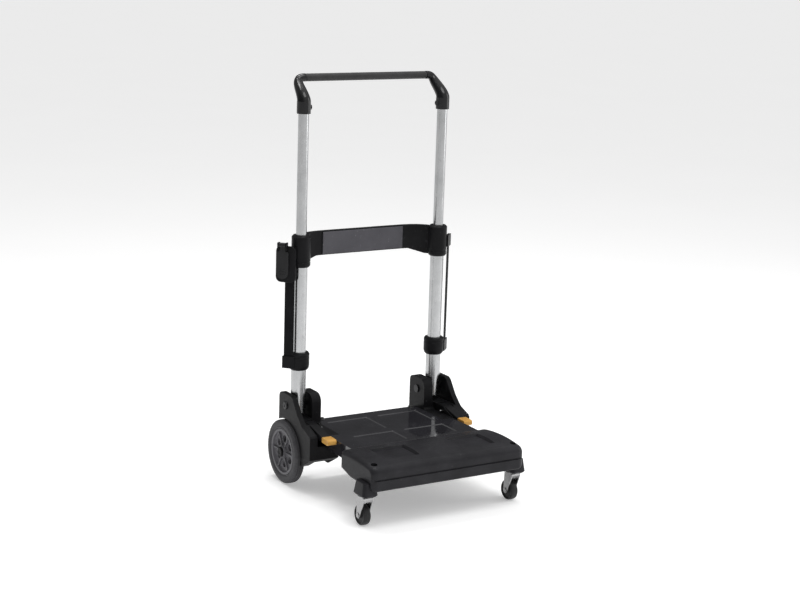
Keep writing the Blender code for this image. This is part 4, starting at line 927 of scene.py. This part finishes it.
def grip_corner(name, side):
    path = grip_path(side)
    inner = [(after - before).normalized() for before, after in zip(path, path[2:])]
    directions = [Vector((0, 0, 1)), *inner, Vector((-side, 0, 0))]
    rings = []
    for i, (point, direction) in enumerate(zip(path, directions)):
        across = Vector((0, 1, 0)).cross(direction).normalized()
        other = direction.cross(across)
        share = min(1, 1.5 * max(0, i - 1) / (len(path) - 2))
        r = LEG_R + (BAR_R + 0.5 * MM - LEG_R) * share
        turns = [math.tau * k / CORNER_SIDES for k in range(CORNER_SIDES)]
        rings.append([point + r * (across * math.cos(t) + other * math.sin(t)) for t in turns])
    socket = lathe(rod(UPPER_R + GAP, LEG_BOTTOM - 4 * MM, LEG_BOTTOM + SOCKET), upright(side))
    level = (side * TUBE_X, MAST_Y, middle(f"release_button_{name}").z)
    well = lathe(mirrored(-side, rod(BUTTON_R, UPPER_R - 0.9 * MM, LEG_R + 4 * MM)), level, "X", 48)
    bm = with_modifiers(skin(rings), cut(socket, well))
    piece(rounded(bm, 1.1 * MM, 3, 34), f"grip_corner_{name}", CORNER_GLOSS)


def grip_bar():
    half = BAR_HIGH.x
    end = [(BAR_R - 0.9 * MM, half), (BAR_R - 0.9 * MM, half - 1 * MM), (BAR_R, half - 1.8 * MM)]
    profile = [(0, half), *end, *[(r, -h) for r, h in reversed(end)], (0, -half)]
    piece(rounded(lathe(profile, BAR_PLACE, "X"), 0.3 * MM, 2), "grip_bar")


for name, side in SIDES:
    grip_corner(name, side)
grip_bar()


# ---------------------------------------------------------------- collars and clamps

STRAP_TURN = math.pi / 4
STRAP_HALF = 12.5 * MM
STRAP_FACE = 1 * MM
LUG_WALL = 2.8 * MM
LUG_HEIGHT = 30 * MM


def strap_point(side, along, out, z):
    """A point from a distance along the strap's width and one out of its face."""
    centre = middle("strap_right")
    across = Vector((side * math.cos(STRAP_TURN), math.sin(STRAP_TURN)))
    facing = Vector((side * math.sin(STRAP_TURN), -math.cos(STRAP_TURN)))
    flat = Vector((side * centre.x, centre.y)) + across * along + facing * out
    return (flat.x, flat.y, z)


def strap_block(side, along, out, z):
    return skin([[strap_point(side, a, o, level) for a, o in oblong(along, out)] for level in z])


def strap_plate(side, out, outline):
    return skin([[strap_point(side, a, level, z) for a, z in outline] for level in out])


def lug(side, low):
    half, face = STRAP_HALF + LUG_WALL, STRAP_FACE + LUG_WALL
    return strap_block(side, (-half, half), (-face, face), (low, low + LUG_HEIGHT))


def lug_slot(side, z):
    half, face = STRAP_HALF + GAP, STRAP_FACE + GAP
    return strap_block(side, (-half, half), (-face, face), z)


def ring_with_lug(node, side, profile, bore, lug_low, slot):
    """A turned ring with a strap lug beside it; profile is (radius, height), bore the clear way through."""
    steps = join(lug(side, lug_low)) + cut(lathe(bore, upright(side)))
    bm = with_modifiers(lathe(profile, upright(side)), steps)
    bm = with_modifiers(bm, cut(lug_slot(side, slot)))
    piece(rounded(bm, 1 * MM, 3, 32), node)


def collar(name, side):
    node = f"collar_{name}"
    low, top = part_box(node)[0].z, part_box(node)[1].z
    outer = LOWER_R + 7 * MM
    profile = [
        (LOWER_R + GAP, low), (outer - 5 * MM, low), (outer - 1.5 * MM, low + 4 * MM),
        (outer, low + 11 * MM), (outer, top - 13 * MM), (outer - 0.8 * MM, top - 12.2 * MM),
        (outer - 0.8 * MM, top - 10.8 * MM), (outer, top - 10 * MM), (outer, top - 4 * MM),
        (outer - 3 * MM, top), (MIDDLE_R + GAP, top), (MIDDLE_R + GAP, LOWER_TOP + GAP),
        (LOWER_R + GAP, LOWER_TOP + GAP),
    ]
    lug_low = low + 6 * MM
    bore = rod(LOWER_R + GAP, low - 4 * MM, LOWER_TOP + GAP)
    ring_with_lug(node, side, profile, bore, lug_low, (lug_low + LUG_HEIGHT - 14.3 * MM, top + 4 * MM))


def clamp(name, side):
    node = f"crossbar_clamp_{name}"
    low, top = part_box(node)[0].z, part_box(node)[1].z
    lid = MIDDLE_TOP + 2 * GAP
    profile = [
        (MIDDLE_R + GAP, low), (CLAMP_R - 3 * MM, low), (CLAMP_R, low + 4 * MM),
        (CLAMP_R, low + 11 * MM), (CLAMP_R - 0.8 * MM, low + 11.8 * MM),
        (CLAMP_R - 0.8 * MM, low + 13.2 * MM), (CLAMP_R, low + 14 * MM), (CLAMP_R, top - 4 * MM),
        (CLAMP_R - 4 * MM, top), (UPPER_R + 2 * GAP, top), (UPPER_R + 2 * GAP, lid),
        (MIDDLE_R + GAP, lid),
    ]
    lug_low = low + 22 * MM
    bore = rod(MIDDLE_R + GAP, low - 4 * MM, lid)
    ring_with_lug(node, side, profile, bore, lug_low, (lug_low - 4 * MM, lug_low + 14.3 * MM))


for name, side in SIDES:
    collar(name, side)
    clamp(name, side)


# ---------------------------------------------------------------- buckle's lever

LEVER_SHIFT = 16 * MM
LEVER_FACE = 9.2 * MM
LEVER_THICK = 5 * MM
BARREL_HALF = 8 * MM
BARREL_R = 6 * MM


def lever():
    """Cam lever: a paddle with three grip ribs, and the barrel that its pin passes through."""
    side = -1
    half = 15 * MM
    centre = middle("buckle_pin")
    axis_out = LEVER_FACE - 2 * GAP + BARREL_R + 2 * GAP
    place = Vector(strap_point(side, LEVER_SHIFT, axis_out, centre.z))
    across = (Vector(strap_point(side, LEVER_SHIFT + half, axis_out, centre.z)) - place).normalized()
    foot = centre.z - 84 * MM
    shoulder = centre.z - 16 * MM
    neck = BARREL_HALF - 0.5 * MM
    outline = arc((LEVER_SHIFT, foot + half), half, 180, 360, 24)
    right = [(half, shoulder - 5 * MM), (half - 1.6 * MM, shoulder - 1.6 * MM), (neck, shoulder)]
    right += [(neck, centre.z - 2 * MM)]
    outline += [(LEVER_SHIFT + a, z) for a, z in right]
    outline += [(LEVER_SHIFT - a, z) for a, z in reversed(right)]
    paddle = strap_plate(side, (LEVER_FACE, LEVER_FACE + LEVER_THICK), outline)
    turn = Vector((0, 0, 1)).rotation_difference(across).to_matrix()
    barrel = lathe(rod(BARREL_R, -BARREL_HALF, BARREL_HALF), (0, 0, 0), steps=48)
    bore = lathe(rod(2.3 * MM, -3 * BARREL_HALF, 3 * BARREL_HALF), (0, 0, 0), steps=24)
    for bm in (barrel, bore):
        bmesh.ops.rotate(bm, verts=bm.verts, matrix=turn)
        bmesh.ops.translate(bm, verts=bm.verts, vec=place)
    ribs = []
    for i in range(3):
        z = foot + (9 + 6 * i) * MM
        out = (LEVER_FACE + LEVER_THICK - 0.5 * MM, LEVER_FACE + LEVER_THICK + 0.9 * MM)
        ribs.append(strap_block(side, (LEVER_SHIFT - 8 * MM, LEVER_SHIFT + 8 * MM), out, (z, z + 2.4 * MM)))
    bm = with_modifiers(paddle, join(barrel, *ribs) + cut(bore))
    piece(rounded(bm, 0.8 * MM, 3, 32), "buckle_lever", LEVER_GREY)


lever()


# ---------------------------------------------------------------- fold pedals

PEDAL_TIP = PEDAL_LOW.y
PEDAL_HEEL = PEDAL_HIGH.y
CAP_LENGTH = 31 * MM
CAP_GROOVES = 4


def pedal_outline():
    """Side outline of a pedal as (y, z): heel, crest over its pin, dished arm, round tip and back below."""
    top = DECK_TOP + 4 * MM
    under = DECK_TOP - 10 * MM
    bottom = PEDAL_PIN_Z - 8 * MM
    tip = arc((PEDAL_TIP + 5 * MM, top - 5.6 * MM), 5 * MM, 90, 180, 6)
    toe = arc((PEDAL_TIP + 5 * MM, under + 5 * MM), 5 * MM, 180, 270, 6)
    return [
        (PEDAL_HEEL, bottom + 2 * MM), (PEDAL_HEEL, PEDAL_PIN_Z + 10 * MM),
        (PEDAL_HEEL - 2 * MM, PEDAL_PIN_Z + 12.2 * MM), (PEDAL_HEEL - 6 * MM, PEDAL_PIN_Z + 13 * MM),
        (PEDAL_PIN_Y + 4 * MM, PEDAL_PIN_Z + 12.2 * MM), (PEDAL_PIN_Y - 8 * MM, PEDAL_PIN_Z + 10 * MM),
        (PEDAL_TIP + 40 * MM, top + 1.6 * MM), (PEDAL_TIP + 34 * MM, top),
        *tip,
        *toe,
        (PEDAL_TIP + 34 * MM, under + 2 * MM),
        (PEDAL_PIN_Y - 20 * MM, bottom),
    ]


def fold_pedal(name, side):
    """Black lever whose pressed end carries an amber cap with grooves across it."""
    node = f"fold_pedal_{name}"
    near, far = PEDAL_X - PEDAL_HALF, PEDAL_X + PEDAL_HALF
    top = DECK_TOP + 4 * MM
    split = PEDAL_TIP + CAP_LENGTH
    reach = (DECK_TOP - 20 * MM, DECK_TOP + 20 * MM)
    through = rod(PEDAL_PIN_R, side * PEDAL_X - 20 * MM, side * PEDAL_X + 20 * MM)
    bore = lathe(through, (0, PEDAL_PIN_Y, PEDAL_PIN_Z), "X", 32)
    wide = (near - 1 * MM, far + 1 * MM)
    front = side_box(side, wide, (PEDAL_TIP - 1 * MM, split), reach)
    arm = with_modifiers(side_prism(side, near, far, pedal_outline()), cut(bore, front))
    piece(rounded(arm, 1.4 * MM, 3, 30), node, name="arm", slot="black_plastic")

    rest = side_box(side, wide, (split - GAP, PEDAL_HEEL + 1 * MM), reach)
    grooves = []
    for i in range(CAP_GROOVES):
        y = PEDAL_TIP + (9 + 5 * i) * MM
        depth = (top - 1 * MM, top + 2 * MM)
        grooves.append(side_box(side, (near + 3 * MM, far - 3 * MM), (y, y + 1.8 * MM), depth))
    cap = with_modifiers(side_prism(side, near, far, pedal_outline()), cut(rest, *grooves))
    piece(rounded(cap, 0.7 * MM, 3, 30), node, name="cap")


for name, side in SIDES:
    fold_pedal(name, side)


# ---------------------------------------------------------------- casters, caps and pins

CASTER_HUB = middle("caster_wheel_right")
CASTER_R = CASTER_HUB.z
CASTER_HALF = radius("caster_wheel_right")  # its wheel lies along X, so this is half its width
PIN_HEAD_R = 10 * MM
PIN_NECK_R = 6 * MM


def caster_wheel(name, side):
    """Wheel with a dished side, a raised boss and a crowned tread with a parting line."""
    r, h = CASTER_R, CASTER_HALF
    profile = both_ends([
        (3.8 * MM, -h), (6.8 * MM, -h), (7.6 * MM, -h + 0.9 * MM), (8.2 * MM, -h * 0.7),
        (0.62 * r, -h * 0.7), (0.74 * r, -h * 0.76), (0.80 * r, -h * 0.96), (0.84 * r, -h),
        (0.91 * r, -h * 0.97), (0.962 * r, -h * 0.84), (0.988 * r, -h * 0.6), (0.998 * r, -h * 0.3),
        (r, -0.5 * MM), (r - 0.3 * MM, -0.2 * MM),
    ])
    place = (side * CASTER_HUB.x, CASTER_HUB.y, CASTER_HUB.z)
    piece(rounded(lathe(profile, place, "X", 80), 0.35 * MM, 2, 34), f"caster_wheel_{name}", CASTER_RUBBER)


def turned(node, profile, place, axis, width, steps=64, look=None):
    piece(rounded(lathe(profile, place, axis, steps), width, 3, 32), node, look)


for name, side in SIDES:
    caster_wheel(name, side)
    inner, outer = HOUSING_LOW.x - GAP, HOUSING_HIGH.x + GAP
    pin = [(0, inner - 3 * MM), (PIN_HEAD_R, inner - 3 * MM), (PIN_HEAD_R, inner), (PIN_NECK_R, inner)]
    pin += [(PIN_NECK_R, outer), (PIN_HEAD_R, outer), (9.2 * MM, outer + 2.4 * MM)]
    pin += [(7.5 * MM, outer + 3 * MM), (4 * MM, outer + 3 * MM)]
    pin += [(3.2 * MM, outer + 2 * MM), (0, outer + 2 * MM)]
    turned(f"pivot_pin_{name}", mirrored(side, pin), (0, MAST_Y, PIVOT_Z), "X", 0.5 * MM, look=BLACK_STEEL)
    low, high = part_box(f"rest_bumper_{name}")
    profile = [(0, low.z), (8 * MM, low.z), (7.4 * MM, low.z + 1.4 * MM), (6 * MM, low.z + 3 * MM)]
    profile += [(6 * MM, high.z - 2 * MM), (5.2 * MM, high.z - 0.6 * MM), (3.6 * MM, high.z), (0, high.z)]
    spot = middle(f"rest_bumper_{name}")
    turned(f"rest_bumper_{name}", profile, (spot.x, spot.y, 0), "Z", 0.4 * MM, 48)
    low_x, end = (corner.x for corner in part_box("axle_cap_right"))
    cap = [(AXLE_R, low_x), (13 * MM, low_x), (13 * MM, low_x + 2 * MM), (11.8 * MM, low_x + 3.2 * MM)]
    cap += [(10.5 * MM, end), (5 * MM, end), (4 * MM, end - 0.7 * MM), (0, end - 0.7 * MM)]
    cap += [(0, end - 1.7 * MM), (AXLE_R, end - 1.7 * MM)]
    turned(f"axle_cap_{name}", mirrored(side, cap), (0, MAST_Y, WHEEL_R), "X", 0.5 * MM)


# ---------------------------------------------------------------- carried-over shapes, with rounded edges

OWN_LOOK = {"release_button_left": LEVER_GREY, "release_button_right": LEVER_GREY}

for node in frame["nodes"]:
    if not frame["nodes"][node].hide_render and not node.startswith("strap_"):
        refined(node, OWN_LOOK.get(node))


# ---------------------------------------------------------------- straps

WEB_ROW = 1.3 * MM
WEB_CELLS = 16
WEB_HALF = 12.4 * MM
WEB_THICK = 0.75 * MM  # half of the band's thickness, before its ribs
WEB_RIB = 0.28 * MM


def strap(name, side):
    """A woven band: ribs across it that lean in a herringbone, with a rolled selvedge on each side."""
    node = f"strap_{name}"
    low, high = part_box(node)
    rows = int((high.z - low.z) / (WEB_ROW / 2))
    rings = []
    for i in range(rows + 1):
        z = low.z + (high.z - low.z) * i / rows
        ring = []
        for face in (1, -1):
            for j in range(WEB_CELLS + 1):
                share = (2 * j / WEB_CELLS - 1) * face
                lean = abs(share) * 1.5
                rib = WEB_RIB * math.sin(math.pi * i + math.tau * lean)
                edge = max(0, abs(share) - 0.86) / 0.14
                thick = WEB_THICK * math.sqrt(max(0.02, 1 - 0.85 * edge**2)) + rib * (1 - 0.6 * edge)
                ring.append(strap_point(side, share * WEB_HALF, face * thick, z))
        rings.append(ring)
    obj = piece(skin(rings), node, smooth=60)


for name, side in SIDES:
    strap(name, side)


# ---------------------------------------------------------------- stage


FLOOR_R = 80
FLOOR_GLOW = 0.38
WORLD_LIGHT = 0.8  # brightness of the tent, then of its left side
WORLD_LEFT = 0.16
WORLD_DARK = 0.09  # share of it left low behind the cart
LAMPS = (  # name, place, target, size and watts
    ("key", (0.1, -0.9, 3.5), (0, 0, 0.4), (1.6, 1.6), 34),
    ("fill", (2.8, -1.2, 1.4), (0, 0, 0.4), (1.2, 2.2), 20),
    ("overhead", (-0.1, 0.9, 3.1), (0, 0.1, 0.5), (1.5, 0.5), 30),
)
CAMERA_PLACE = (-2.11615, -3.47321, 1.38536)
CAMERA_TURN = 31.34  # degrees, as are the dip and the roll
CAMERA_DIP = 12.6
CAMERA_ROLL = 1.88
CAMERA_LENS = 77.17
CAMERA_SENSOR = 36


def paint_stage():
    made, tree, shader, place = finish(
        "floor_paper", Roughness=0.85, Specular_IOR_Level=0.1, Emission_Strength=FLOOR_GLOW
    )
    cloud = noise(tree, place, 600, 3)
    paper = blend(tree, cloud, (0.86, 0.86, 0.86), (0.88, 0.88, 0.88))
    feed(shader, Base_Color=paper, Emission_Color=paper)
    raised(tree, shader, [(noise(tree, place, 1.5, 3), 0.05, 0.2)])
    return made


def floor():
    bm = bmesh.new()
    bmesh.ops.create_circle(bm, cap_ends=True, segments=128, radius=FLOOR_R)
    mesh = mesh_of(bm, "studio_floor")
    mesh.materials.append(paint_stage())
    placed("studio_floor", mesh)


def area_light(name, place, target, size, watts):
    lamp = bpy.data.lights.new(name, "AREA")
    lamp.shape = "RECTANGLE"
    lamp.size, lamp.size_y = size
    lamp.energy = watts
    made = placed(name, lamp)
    made.location = place
    made.rotation_euler = (Vector(target) - Vector(place)).to_track_quat("-Z", "Y").to_euler()


def studio():
    """A light tent, dim on the left and dark low behind the cart, so that the deck mirrors the uprights."""
    world = bpy.data.worlds.new("studio")
    world.use_nodes = True
    bpy.context.scene.world = world
    tree = world.node_tree
    way = wire(tree, "ShaderNodeTexCoord").outputs["Generated"]
    turn = math.radians(CAMERA_TURN)
    ahead = (math.sin(turn), math.cos(turn), 0)
    away = wire(tree, "ShaderNodeVectorMath", {0: way, 1: ahead}, operation="DOT_PRODUCT").outputs["Value"]
    parts = wire(tree, "ShaderNodeSeparateXYZ", {0: way}).outputs
    behind = spread(tree, away, 0.45, 0.8, 0, 1)
    low_down = spread(tree, parts["Z"], 0.45, 0.7, 1, 0)
    shade = spread(tree, parts["X"], -0.75, -0.1, WORLD_LEFT, WORLD_LIGHT)
    open_back = spread(tree, maths(tree, "MULTIPLY", behind, low_down), 0, 1, 1, WORLD_DARK)
    level = maths(tree, "MULTIPLY", shade, open_back)
    sky = tree.nodes["Background"]
    sky.inputs["Color"].default_value = (1, 1, 1, 1)
    tree.links.new(level, sky.inputs["Strength"])
    for lamp in LAMPS:
        area_light(*lamp)


def camera():
    lens = bpy.data.cameras.new("photo_camera")
    lens.lens = CAMERA_LENS
    lens.sensor_width = CAMERA_SENSOR
    made = placed("photo_camera", lens)
    turn, dip, roll = (math.radians(a) for a in (CAMERA_TURN, CAMERA_DIP, CAMERA_ROLL))
    ahead = Vector((math.sin(turn) * math.cos(dip), math.cos(turn) * math.cos(dip), -math.sin(dip)))
    right = Vector((math.cos(turn), -math.sin(turn), 0))
    up = right.cross(ahead)
    level = right * math.cos(roll) + up * math.sin(roll)
    upward = up * math.cos(roll) - right * math.sin(roll)
    made.matrix_world = Matrix((level, upward, -ahead)).transposed().to_4x4()
    made.location = CAMERA_PLACE
    bpy.context.scene.camera = made


floor()
studio()
camera()
bpy.context.scene.view_settings.view_transform = "Standard"
